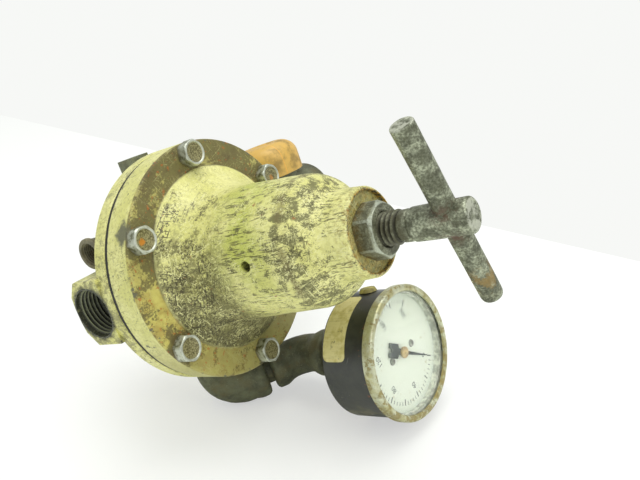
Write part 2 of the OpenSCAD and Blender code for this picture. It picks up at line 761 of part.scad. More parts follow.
module gauge_elbow() {
    color("#3a3b35") translate(elbow_pos) rotate([0, -(90 + leg_turn), 0]) rotate([-90, 0, 0]) difference() {
        union() {
            bent_bar(90, elbow_r + 0.5, elbow_r, elbow_reach - side_reach - 2.5, elbow_end - 2);
            translate([0, 0, -(elbow_reach - side_reach) - side_depth + 2])
                cylinder(r = side_tail_r, h = side_depth + 4);
            rotate([0, 90, 0]) translate([0, 0, elbow_end - 7]) band(elbow_band_r, 7);
        }
        translate([0, 0, -(elbow_reach - side_reach) - side_depth]) cylinder(r = pipe_bore_r,
            h = elbow_reach - side_reach + side_depth);
        rotate([0, 90, 0]) translate([0, 0, -2]) cylinder(r = pipe_bore_r, h = elbow_end);
        rotate([0, 90, 0]) translate([0, 0, elbow_end - 11]) cylinder(r = side_r, h = 11 + cut);
    }
}

module gauge_nipple() {
    gap = leg_len - elbow_end - bend_end;
    hold = 9;
    color("#4a4a40") translate(elbow_pos) rotate([0, -leg_turn, 0]) translate([0, 0, elbow_end - hold])
        difference() {
            cylinder(r = side_tail_r, h = gap + 2 * hold);
            translate([0, 0, -cut]) cylinder(r = pipe_bore_r, h = gap + 2 * (hold + cut));
        }
}

module gauge_bend() {
    turn = leg_turn + gauge_yaw;
    color("#383933") translate(bend_pos) rotate([0, -leg_turn, 0]) difference() {
        union() {
            sphere(r = bend_body_r);
            translate([0, 0, -bend_end + 2]) cylinder(r = bend_body_r, h = bend_end - 2);
            rotate([0, turn, 0]) cylinder(r = bend_body_r, h = bend_end - 2);
            translate([0, 0, -bend_end]) band(bend_band_r, 7);
            rotate([0, turn, 0]) translate([0, 0, bend_end - 7]) band(bend_band_r, 7);
        }
        translate([0, 0, -bend_end - cut]) cylinder(r = side_r, h = 11 + cut);
        translate([0, 0, -bend_end]) cylinder(r = pipe_bore_r, h = bend_end + 1);
        rotate([0, turn, 0]) translate([0, 0, bend_end - 11]) cylinder(r = side_r, h = 11 + cut);
        rotate([0, turn, 0]) cylinder(r = pipe_bore_r, h = bend_end);
    }
}

// ======== gauge ========

// The gauge's own axes: origin at the centre of its front plane, Z out of the dial
module at_gauge() {
    translate(gauge_pos) rotate([0, gauge_yaw, 0]) children();
}

module socket_block() {
    translate([-5, -23, back_in]) cube([10, 28, block_top - back_in]);
}

module gauge_socket() {
    back = -gauge_depth;
    tail_low = -(gauge_reach - bend_end + 9);
    hex_low = -(gauge_reach - bend_end) + 2;
    color("#b69b54") at_gauge() difference() {
        union() {
            socket_block();
            translate([0, 0, back - 3]) cylinder(r = socket_neck_r, h = back_t + 3.5);
            translate([0, 0, tail_low]) cylinder(r = side_tail_r, h = hex_low - tail_low + 0.01);
            translate([0, 0, hex_low]) linear_extrude(back - hex_low - 1) hexagon(14);
        }
        translate([0, 0, tail_low - cut]) cylinder(r = 1.6, h = block_top - tail_low - 2);
        for (x = [-3, 3]) translate([x, -16, back_in - cut]) cylinder(r = 1.05, h = 4);
    }
}

module gauge_case() {
    color("#2a2b28") at_gauge() difference() {
        union() {
            rotate_extrude() polygon(concat(
                [[0, -gauge_depth]],
                arc(case_r - 1.6, -gauge_depth + 1.6, 1.6, -90, 0, 4),
                [[case_r, gasket_low - lip_t - 0.6], [lip_r, gasket_low - lip_t]],
                [[lip_r, gasket_low], [0, gasket_low]]
            ));
        }
        translate([0, 0, back_in]) cylinder(r = case_in_r, h = gauge_depth);
        translate([0, 0, -gauge_depth - cut]) cylinder(r = socket_neck_r + fit_clear, h = back_t + 2 * cut);
        for (x = [-3, 3]) translate([x, -16, -gauge_depth - cut]) cylinder(r = 1.1, h = back_t + 2 * cut);
        rotate(relief_turn) translate([0, 0, relief_z]) rotate([0, 90, 0]) cylinder(r = 2.55, h = case_r + 2);
    }
}

module relief_plug() {
    color("#6b5a26") at_gauge() rotate(relief_turn) translate([0, 0, relief_z]) rotate([0, 90, 0]) {
        translate([0, 0, case_in_r - 0.8]) cylinder(r = 2.5, h = case_wall + 1.2);
        translate([0, 0, case_r + 0.2]) cylinder(r1 = 4, r2 = 3.2, h = 1.6);
    }
}

module case_screws() {
    color("#8a8a80") at_gauge() for (x = [-3, 3]) translate([x, -16, -gauge_depth]) {
        translate([0, 0, -1.2]) cylinder(r = 2, h = 1.2);
        translate([0, 0, -0.01]) cylinder(r = 1, h = back_t + 3);
    }
}

module gauge_bezel() {
    e = 1.3;
    color("#b3ae8e") at_gauge() rotate_extrude() polygon(concat(
        [[lip_r + fit_clear, bezel_skirt_low], [bezel_r - 0.05, bezel_skirt_low]],
        [[bezel_r, bezel_skirt_low + 0.4]],
        arc(bezel_r - e, -e, e, 0, 90, 5),
        arc(bezel_r - bezel_rim + 0.7, -0.7, 0.7, 90, 180, 4),
        [[bezel_r - bezel_rim, -rim_t], [lip_r + fit_clear, -rim_t]]
    ));
}

module gauge_lens() {
    color("#e8efe6", 0.4) at_gauge() translate([0, 0, lens_low]) cylinder(r = lip_r - 0.1, h = lens_t);
}

module lens_gasket() {
    color("#3a3a34") at_gauge() translate([0, 0, gasket_low]) difference() {
        cylinder(r = lip_r - 0.1, h = 0.4);
        translate([0, 0, -cut]) cylinder(r = case_in_r - 0.2, h = 0.4 + 2 * cut);
    }
}

module spacer_ring() {
    color("#c9cdbf") at_gauge() translate([0, 0, dial_front]) difference() {
        cylinder(r = case_in_r - 0.05, h = gasket_low - dial_front);
        translate([0, 0, -cut]) cylinder(r = case_in_r - 1, h = gasket_low - dial_front + 2 * cut);
    }
}

module gauge_dial() {
    color("#e3e8d8") at_gauge() translate([0, 0, dial_front - dial_t]) difference() {
        cylinder(r = case_in_r - 0.15, h = dial_t);
        translate([0, 0, -cut]) cylinder(r = 1.6, h = dial_t + 2 * cut);
        for (x = [-8, 8]) translate([x, 0, -cut]) cylinder(r = 0.95, h = dial_t + 2 * cut);
    }
}

module dial_screws() {
    color("#9a9a8e") at_gauge() for (x = [-8, 8]) translate([x, 0, dial_front]) {
        cylinder(r1 = 1.7, r2 = 1.3, h = 0.6);
        translate([0, 0, -dial_t - 1.6]) cylinder(r = 0.85, h = dial_t + 1.61);
    }
}

module movement_plates() {
    color("#bfa45a") at_gauge() difference() {
        union() {
            for (z = [plate_low, plate_high]) translate([-10, sector_pos[1] - 3, z])
                cube([20, 3 - sector_pos[1] + 4, plate_th]);
            for (s = [-1, 1], at = [dial_post, lower_post]) translate([s * at[0], at[1], plate_low])
                cylinder(r = post_r, h = plate_gap + 2 * plate_th);
            for (x = [-8, 8]) translate([x, 0, plate_high])
                cylinder(r = 1.7, h = dial_front - dial_t - plate_high);
        }
        for (x = [-8, 8]) translate([x, 0, dial_front - dial_t - 2.2]) cylinder(r = 0.9, h = 3);
        for (at = [[0, 0, 0], sector_pos]) translate(at + [0, 0, plate_low - cut])
            cylinder(r = arbor_r + run_clear, h = plate_gap + 2 * plate_th + 2 * cut);
    }
}

module gauge_pointer() {
    z = dial_front + 0.7;
    color("#5b6a5c") at_gauge() rotate(zero_turn) translate([0, 0, z]) difference() {
        union() {
            cylinder(r = 2.2, h = 1);
            linear_extrude(0.4) polygon([[0, -0.75], [pointer_len, -0.2], [pointer_len, 0.2], [0, 0.75]]);
            // blocky counterweight
            linear_extrude(0.4) polygon([
                [-2, -1.6], [-2, 1.6], [-5.2, 1.6], [-5.2, 2.6],
                [-9.5, 2.6], [-9.5, -2.6], [-5.2, -2.6], [-5.2, -1.6]
            ]);
        }
        translate([0, 0, -cut]) cylinder(r = arbor_r + 0.02, h = 0.8 + cut);
    }
}

// Teeth on a pitch circle from tooth a to tooth b, the tooth 0 centred on +X
module gear_teeth(pitch_r, teeth, a, b) {
    m = gear_module;
    root = pitch_r - 1.1 * m;
    crest = pitch_r + 0.8 * m;
    for (i = [a:b]) rotate(i * 360 / teeth)
        polygon([[root, -0.62 * m], [crest, -0.26 * m], [crest, 0.26 * m], [root, 0.62 * m]]);
}

module pinion_arbor() {
    color("#c8ae64") at_gauge() {
        translate([0, 0, plate_low]) cylinder(r = arbor_r, h = dial_front + 1.5 - plate_low);
        translate([0, 0, gear_z - 0.3]) linear_extrude(gear_t + 0.6) {
            circle(r = pinion_pitch_r - gear_module, $fn = 24);
            rotate(-90 + 180 / pinion_teeth) gear_teeth(pinion_pitch_r, pinion_teeth, 0, pinion_teeth - 1);
        }
    }
}

module sector_gear() {
    teeth = pinion_teeth * sector_ratio;
    color("#c8ae64") at_gauge() translate(sector_pos) {
        translate([0, 0, plate_low]) cylinder(r = arbor_r, h = plate_gap + 2 * plate_th);
        translate([0, 0, gear_z]) linear_extrude(gear_t) difference() {
            union() {
                rotate(90) gear_teeth(sector_pitch_r, teeth, -9, 9);
                polygon(concat(arc(0, 0, sector_pitch_r - gear_module, 44, 136, 16), [[-2.2, 0], [2.2, 0]]));
                circle(r = 2.6);
                translate([-tail_len, -1.2]) square([tail_len, 2.4]);
                translate([-tail_len, 0]) circle(r = 1.5);
            }
            translate([-tail_len, 0]) circle(r = 0.55 + run_clear);
        }
    }
}

module bourdon_shape() {
    e = tube_w / 2;
    start = -80;
    translate([0, 0, tube_z]) rotate(start) rotate_extrude(angle = tube_end_turn - start)
        translate([tube_r - e, 0]) polygon(concat(arc(e, e, e, -180, 0, 6), arc(e, tube_h - e, e, 0, 180, 6)));
}

module bourdon_tube() {
    color("#c4a250") at_gauge() difference() {
        union() {
            bourdon_shape();
            // closed tip, with an arm that stands up to the link
            rotate(tube_end_turn) translate([tip_r - 1.2, -1.9, tube_z + 0.6]) {
                cube([tube_r + 1.8 - tip_r + 1.2, 3, tube_h - 1.2]);
                cube([2.4, 3, link_z - 0.35 - tube_z - 0.6]);
            }
        }
        socket_block();
    }
}

// Link from the sector's tail to the tip of the Bourdon tube
module tube_link() {
    pin_pos = sector_pos + [-tail_len, 0, 0];
    tip_pos = [tip_r * cos(tube_end_turn), tip_r * sin(tube_end_turn), 0];
    span = tip_pos - pin_pos;
    color("#a8a897") at_gauge() {
        translate(pin_pos + [0, 0, link_z]) rotate(atan2(span[1], span[0])) {
            translate([0, -0.9, 0]) cube([norm(span), 1.8, 0.6]);
            cylinder(r = 1.2, h = 0.6);
        }
        translate(pin_pos + [0, 0, gear_z - 0.2]) cylinder(r = 0.55, h = gear_t + 0.9);
    }
}

module case_sticker() {
    color("#dcd88f") at_gauge() translate([0, 0, -gauge_depth + 1.75]) rotate(sticker_turn)
        rotate_extrude(angle = sticker_angle) translate([case_r + 0.02, 0]) square([0.16, sticker_w]);
}

lay_down() body();
lay_down() bonnet();
lay_down() bonnet_bolts();
lay_down() diaphragm();
lay_down() diaphragm_plate();
lay_down() diaphragm_stud();
lay_down() stud_nut();
lay_down() range_spring();
lay_down() spring_button();
lay_down() adjusting_screw();
lay_down() handle_bar();
lay_down() lock_nut();
lay_down() valve_seat();
lay_down() valve_plug();
lay_down() valve_disc();
lay_down() valve_spring();
lay_down() bottom_cap();
lay_down() cap_gasket();
lay_down() port_plug();
lay_down() small_elbow();
lay_down() outlet_nipple();
lay_down() outlet_tee();
lay_down() thread_cap();
lay_down() gauge_elbow();
lay_down() gauge_nipple();
lay_down() gauge_bend();
lay_down() gauge_socket();
lay_down() gauge_case();
lay_down() case_screws();
lay_down() gauge_bezel();
lay_down() gauge_lens();
lay_down() lens_gasket();
lay_down() spacer_ring();
lay_down() gauge_dial();
lay_down() dial_screws();
lay_down() gauge_pointer();
lay_down() pinion_arbor();
lay_down() sector_gear();
lay_down() movement_plates();
lay_down() bourdon_tube();
lay_down() tube_link();
lay_down() relief_plug();
lay_down() case_sticker();
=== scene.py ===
"""Looks of a spring-loaded pressure regulator with a T-handle, a dial gauge and pipe fittings.

Lengths are millimetres, in the axes of the piece that is being made, until place() sets a mesh in the room.
The regulator's own axes: X towards the inlet, Y towards the gauge port, Z out along the adjusting screw,
origin on the bonnet flange's front face.
"""
import math

import bmesh
import bpy
from mathutils import Matrix, Vector, noise


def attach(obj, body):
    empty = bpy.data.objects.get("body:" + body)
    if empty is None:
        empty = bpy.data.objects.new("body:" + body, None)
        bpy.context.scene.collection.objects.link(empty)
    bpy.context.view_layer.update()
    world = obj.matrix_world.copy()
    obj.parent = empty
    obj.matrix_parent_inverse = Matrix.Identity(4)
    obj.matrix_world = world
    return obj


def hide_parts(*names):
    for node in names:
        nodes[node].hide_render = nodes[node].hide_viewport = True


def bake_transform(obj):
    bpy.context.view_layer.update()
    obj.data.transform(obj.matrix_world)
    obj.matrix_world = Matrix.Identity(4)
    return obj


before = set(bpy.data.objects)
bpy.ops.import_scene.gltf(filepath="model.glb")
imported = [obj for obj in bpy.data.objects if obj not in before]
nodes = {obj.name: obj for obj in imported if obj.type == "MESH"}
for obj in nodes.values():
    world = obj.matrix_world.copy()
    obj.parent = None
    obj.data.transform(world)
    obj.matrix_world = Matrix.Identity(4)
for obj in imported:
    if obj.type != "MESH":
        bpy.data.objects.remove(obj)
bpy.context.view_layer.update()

# ======== sizes and axes ========

MM = 0.001

# how the regulator lies: slope of its screw above the floor, and place of its origin in the room
LIE_RISE = math.radians(16.6)
LIE_PLACE = Vector((-21.76, -27.0, 79.24))

# bonnet
FLANGE_R = 50.0
BONNET_FLANGE_T = 12.7
SKIRT_R = 38.5
SKIRT_Z = 19.0
TOWER_BASE_R = 27.0
TOWER_TOP_R = 25.4
SHOULDER_Z = 51.0
NECK_R = 17.0
NECK_Z = 74.7
RECESS_R = 15.0
RECESS_DEPTH = 2.3
SPRING_BORE_R = 21.5
VENT_R = 2.15
VENT_Z = 34.7
VENT_TURN = math.radians(-5)

# bolts of the flange; AF is the width across the flats
BOLT_COUNT = 6
BOLT_CIRCLE_R = 45.0
BOLT_AF = 10.0
BOLT_HEAD_H = 4.9
BOLT_START = math.radians(-90)

# adjusting screw, T-bar and lock nut
SCREW_R = 6.3
SCREW_PITCH = 1.954
SCREW_LOW = 50.0
THREAD_TOP = 87.0
SCREW_TOP = 113.7
BAR_R = 4.25
BAR_Z = 105.4
BAR_LONG = 38.1
BAR_SHORT = 36.4
BAR_TURN = math.radians(-70)
NUT_AF = 19.0
NUT_H = 8.0
NUT_TURN = math.radians(23)

# springs: radius of the coil's centre line, radius of the wire, low end, high end, turns
RANGE_SPRING = (16.4, 1.98, -9.6, 45.9, 6.0)
VALVE_SPRING = (8.1, 0.69, -62.9, -49.1, 4.0)

# ports of the body, the side tap's boss and the small elbow in it
PORT_R = 10.2
PORT_Z = -29.5
PORT_REACH = 49.8
PORT_DEPTH = 19.0
PIPE_PITCH = 1.814
SIDE_REACH = 42.0
SIDE_Z = -33.0
BOSS_HALF_W = 13.6
SMALL_PLACE = Vector((33.4, -21.8, -27.9))
SMALL_LEN = 8.5
SMALL_R = 5.65
SMALL_PORT_R = 4.7
SMALL_PITCH = 0.94

# outlet tee and its cap
TEE_X = -78.0
TEE_HALF = 26.0
TEE_BRANCH = 28.0
TEE_BAND_R = 15.6
TEE_BARREL_R = 13.6
CAP_R = 17.5
CAP_SKIRT = 12.0
CAP_TOP = 5.0
CAP_DOME_R = 8.0

# elbow, sloping leg and bend that carry the gauge
ELBOW_REACH = 63.2
LEG_TURN = math.radians(48.9)
LEG_LEN = 40.4
ELBOW_R = 11.0
ELBOW_BAND_R = 12.0
ELBOW_END = 19.4
BEND_R = 9.2
BEND_BAND_R = 11.0
BEND_END = 18.0
BEND_TURN_R = 12.0
PIPE_BORE_R = 4.4
PIPE_TAIL_R = 6.75

# gauge, in its own axes: Z out of the dial, origin on the bezel's front
GAUGE_YAW = math.radians(3.2)
GAUGE_REACH = 61.6
BEZEL_R = 29.0
BEZEL_RIM = 3.0
CASE_R = 27.4
LIP_R = 28.6
DIAL_FRONT = -5.4
ZERO_TURN = math.radians(146.7)
DIAL_SWEEP = math.radians(270)
UPRIGHT_ZERO = math.radians(225)  # where zero stands on a dial whose numbers are upright
MINOR_MARKS = 51
MAJOR_MARKS = 11
NUMERALS = 6
NUMERAL_STEP = 40
NUMERAL_R = 16.6
NUMERAL_SIZE = 3.3
POINTER_LEN = 18.5
STICKER_LOW = -26.0
STICKER_HIGH = -14.5
STICKER_START = math.radians(-88)
STICKER_END = math.radians(-21)
STICKER_CORNER = 2.4

# fineness of the repeated pieces, and the angle past which an edge stays sharp
BOLT_TURN_SEED = 7
THREAD_STEPS = 72
THREAD_CORNERS = 4
COIL_STEPS = 48
COIL_CORNERS = 12
SMOOTH_ANGLE = math.radians(32)

REGULATOR = (Matrix.Translation(LIE_PLACE) @ Matrix.Rotation(math.radians(90) - LIE_RISE, 4, "Y")
             @ Matrix.Rotation(math.radians(-90), 4, "Z"))
LEG_DIR = Vector((-math.sin(LEG_TURN), 0, math.cos(LEG_TURN)))
ELBOW_PLACE = Vector((0, ELBOW_REACH, SIDE_Z))
BEND_PLACE = ELBOW_PLACE + LEG_LEN * LEG_DIR
GAUGE_DIR = Vector((math.sin(GAUGE_YAW), 0, math.cos(GAUGE_YAW)))
GAUGE = (REGULATOR @ Matrix.Translation(BEND_PLACE + GAUGE_REACH * GAUGE_DIR)
         @ Matrix.Rotation(GAUGE_YAW, 4, "Y"))


def axes_at(base, point, direction, up=(0, 0, 1)):
    """Axes at point in base, whose Z runs along direction and whose X leans towards up."""
    z = Vector(direction).normalized()
    y = z.cross(Vector(up))
    if y.length < 1e-4:
        y = z.cross(Vector((1, 0, 0)))
    y.normalize()
    x = y.cross(z)
    turn = Matrix((x, y, z)).transposed().to_4x4()
    return base @ Matrix.Translation(Vector(point)) @ turn


# ======== finishes ========

def rgb(red, green, blue):
    """A colour written as screen values from 0 to 255, as the linear colour that a shader takes."""
    def linear(value):
        value /= 255
        return value / 12.92 if value <= 0.04045 else ((value + 0.055) / 1.055) ** 2.4
    return linear(red), linear(green), linear(blue), 1.0


NOISE_SPAN = 0.42  # how widely the values of cloudy noise lie about 0.5


class Finish:
    """A material whose patterns are measured in millimetres in the given axes."""

    def __init__(self, name, axes=REGULATOR):
        self.material = bpy.data.materials.new(name)
        self.material.use_nodes = True
        self.tree = self.material.node_tree
        self.shader = self.tree.nodes["Principled BSDF"]
        place = self.node("ShaderNodeMapping", vector_type="TEXTURE")
        place.inputs["Location"].default_value = axes.to_translation() * MM
        place.inputs["Rotation"].default_value = axes.to_euler()
        place.inputs["Scale"].default_value = (MM, MM, MM)
        self.link(self.node("ShaderNodeTexCoord").outputs["Object"], place.inputs["Vector"])
        self.mm = place.outputs["Vector"]
        parts = self.node("ShaderNodeSeparateXYZ")
        self.link(self.mm, parts.inputs[0])
        self.x, self.y, self.z = parts.outputs
        self.r = self.distance(self.x, self.y)

    def node(self, kind, **settings):
        """Adds a shader node with these settings."""
        made = self.tree.nodes.new(kind)
        for key, value in settings.items():
            setattr(made, key, value)
        return made

    def link(self, source, socket):
        """Feeds a socket from another node's output, or with a plain value."""
        if hasattr(source, "is_output"):
            self.tree.links.new(source, socket)
        else:
            socket.default_value = source

    def math(self, operation, a, b=0.0, c=0.0, clamp=False):
        made = self.node("ShaderNodeMath", operation=operation, use_clamp=clamp)
        for socket, value in zip(made.inputs, (a, b, c)):
            self.link(value, socket)
        return made.outputs[0]

    def add(self, a, b):
        return self.math("ADD", a, b)

    def times(self, a, b):
        return self.math("MULTIPLY", a, b)

    def most(self, a, b):
        return self.math("MAXIMUM", a, b)

    def distance(self, a, b):
        """Length of a step of a one way and b across."""
        return self.math("SQRT", self.add(self.times(a, a), self.times(b, b)))

    def inverse(self, a):
        return self.math("SUBTRACT", 1.0, a, clamp=True)

    def step(self, value, low, high):
        """0 below low, 1 above high and smooth between; falls instead where low is above high."""
        made = self.node("ShaderNodeMapRange", interpolation_type="SMOOTHSTEP")
        rising = low < high
        for key, number in {"From Min": min(low, high), "From Max": max(low, high),
                            "To Min": 0.0 if rising else 1.0, "To Max": 1.0 if rising else 0.0}.items():
            made.inputs[key].default_value = number
        self.link(value, made.inputs["Value"])
        return made.outputs[0]

    def near(self, value, centre, reach):
        """1 at centre, falling to 0 at reach on either side."""
        return self.step(self.math("ABSOLUTE", self.math("SUBTRACT", value, centre)), reach, 0.0)

    def moved(self, stretch=(1, 1, 1), seed=0.0, turn=(0, 0, 0)):
        """The place in millimetres, turned back by turn and then squeezed by stretch."""
        made = self.node("ShaderNodeMapping", vector_type="TEXTURE")
        made.inputs["Location"].default_value = (seed * 13.7, seed * 7.3, seed * 3.1)
        made.inputs["Rotation"].default_value = [math.radians(a) for a in turn]
        made.inputs["Scale"].default_value = stretch
        self.link(self.mm, made.inputs["Vector"])
        return made.outputs[0]

    def noise(self, size, detail=4.0, stretch=(1, 1, 1), seed=0.0, turn=(0, 0, 0), distortion=0.0):
        """Cloudy noise about 0.5, in blobs about size across, drawn out along the turned axes."""
        made = self.node("ShaderNodeTexNoise")
        self.link(self.moved(stretch, seed, turn), made.inputs["Vector"])
        made.inputs["Scale"].default_value = 1 / size
        made.inputs["Detail"].default_value = detail
        made.inputs["Roughness"].default_value = 0.6
        made.inputs["Distortion"].default_value = distortion
        return made.outputs[0]

    def spots(self, size, cover, detail=5.0, soft=0.03, **how):
        """Patches of 1 in 0; cover is the share of the surface, roughly."""
        level = 0.5 + (0.5 - cover) * NOISE_SPAN
        return self.step(self.noise(size, detail, **how), level - soft, level + soft)

    def ragged(self, size, level, lean=0.0, seed=0.0, soft=0.03, **how):
        """Patches with finely broken edges where cloudy noise plus lean passes level."""
        broad = self.noise(size, 4, seed=seed, **how)
        fine = self.times(self.math("SUBTRACT", self.noise(size / 9, 4, seed=seed + 0.7), 0.5), 0.45)
        return self.step(self.add(self.add(broad, fine), lean), level - soft, level + soft)

    def strokes(self, turn, length=12.0, width=0.45, level=0.6, seed=0.0):
        """Straight strokes of about this length and width, along the turned X axis."""
        field = self.noise(width, 1.5, stretch=(length / width, 1, 1), seed=seed, turn=turn)
        return self.step(field, level, level + 0.05)

    def scratches(self, gap, length, turn, width=0.012, seed=0.0, cover=0.5):
        """Hairlines in patches that take up about cover of the surface."""
        lines = self.strokes(turn, length, gap / 6, 0.62 - width, seed)
        return self.times(lines, self.spots(gap * 5, cover, 2.0, 0.06, seed=seed + 3.3))

    def mix(self, factor, a, b):
        made = self.node("ShaderNodeMix", data_type="RGBA")
        self.link(factor, made.inputs[0])
        self.link(a, made.inputs[6])
        self.link(b, made.inputs[7])
        return made.outputs[2]

    def layers(self, ground, *covers):
        """Lays (colour, mask) pairs over the ground, one after the other."""
        for colour, mask in covers:
            ground = self.mix(mask, ground, colour)
        return ground

    def bump(self, height, depth):
        """Relief: height 1 stands depth millimetres above height 0."""
        made = self.node("ShaderNodeBump")
        made.inputs["Strength"].default_value = 1.0
        made.inputs["Distance"].default_value = depth * MM
        self.link(height, made.inputs["Height"])
        self.link(made.outputs[0], self.shader.inputs["Normal"])

    def use(self, colour, rough, metal=0.0, **constants):
        """Sets the shader's main sockets, and any others by name, and gives the material."""
        self.link(colour, self.shader.inputs["Base Color"])
        self.link(rough, self.shader.inputs["Roughness"])
        self.link(metal, self.shader.inputs["Metallic"])
        for key, value in constants.items():
            self.shader.inputs[key.replace("_", " ")].default_value = value
        return self.material

    def range(self, value, low, high):
        """Spreads a 0 to 1 value between low and high."""
        return self.math("MULTIPLY_ADD", value, high - low, low)


def bolt_distance(f):
    """Distance from the nearest bolt's axis, in the plane of the flange."""
    sector = 2 * math.pi / BOLT_COUNT
    angle = f.math("SUBTRACT", f.math("ARCTAN2", f.y, f.x), BOLT_START)
    angle = f.math("WRAP", angle, sector / 2, -sector / 2)
    across = f.times(f.r, f.math("SINE", angle))
    along = f.math("SUBTRACT", f.times(f.r, f.math("COSINE", angle)), BOLT_CIRCLE_R)
    return f.distance(across, along)


def hatching(f, seed, level=0.635):
    """Crossing hairlines in several directions."""
    turns = ((0, 0, 20), (0, 0, 75), (0, 0, 118), (0, 15, 160), (0, 62, 40), (0, 80, 100))
    lines = f.strokes(turns[0], 18, 0.75, level, seed)
    for step, turn in enumerate(turns[1:]):
        lines = f.most(lines, f.strokes(turn, 13 + 2 * step, 0.7, level, seed + 1.9 * (step + 1)))
    return lines


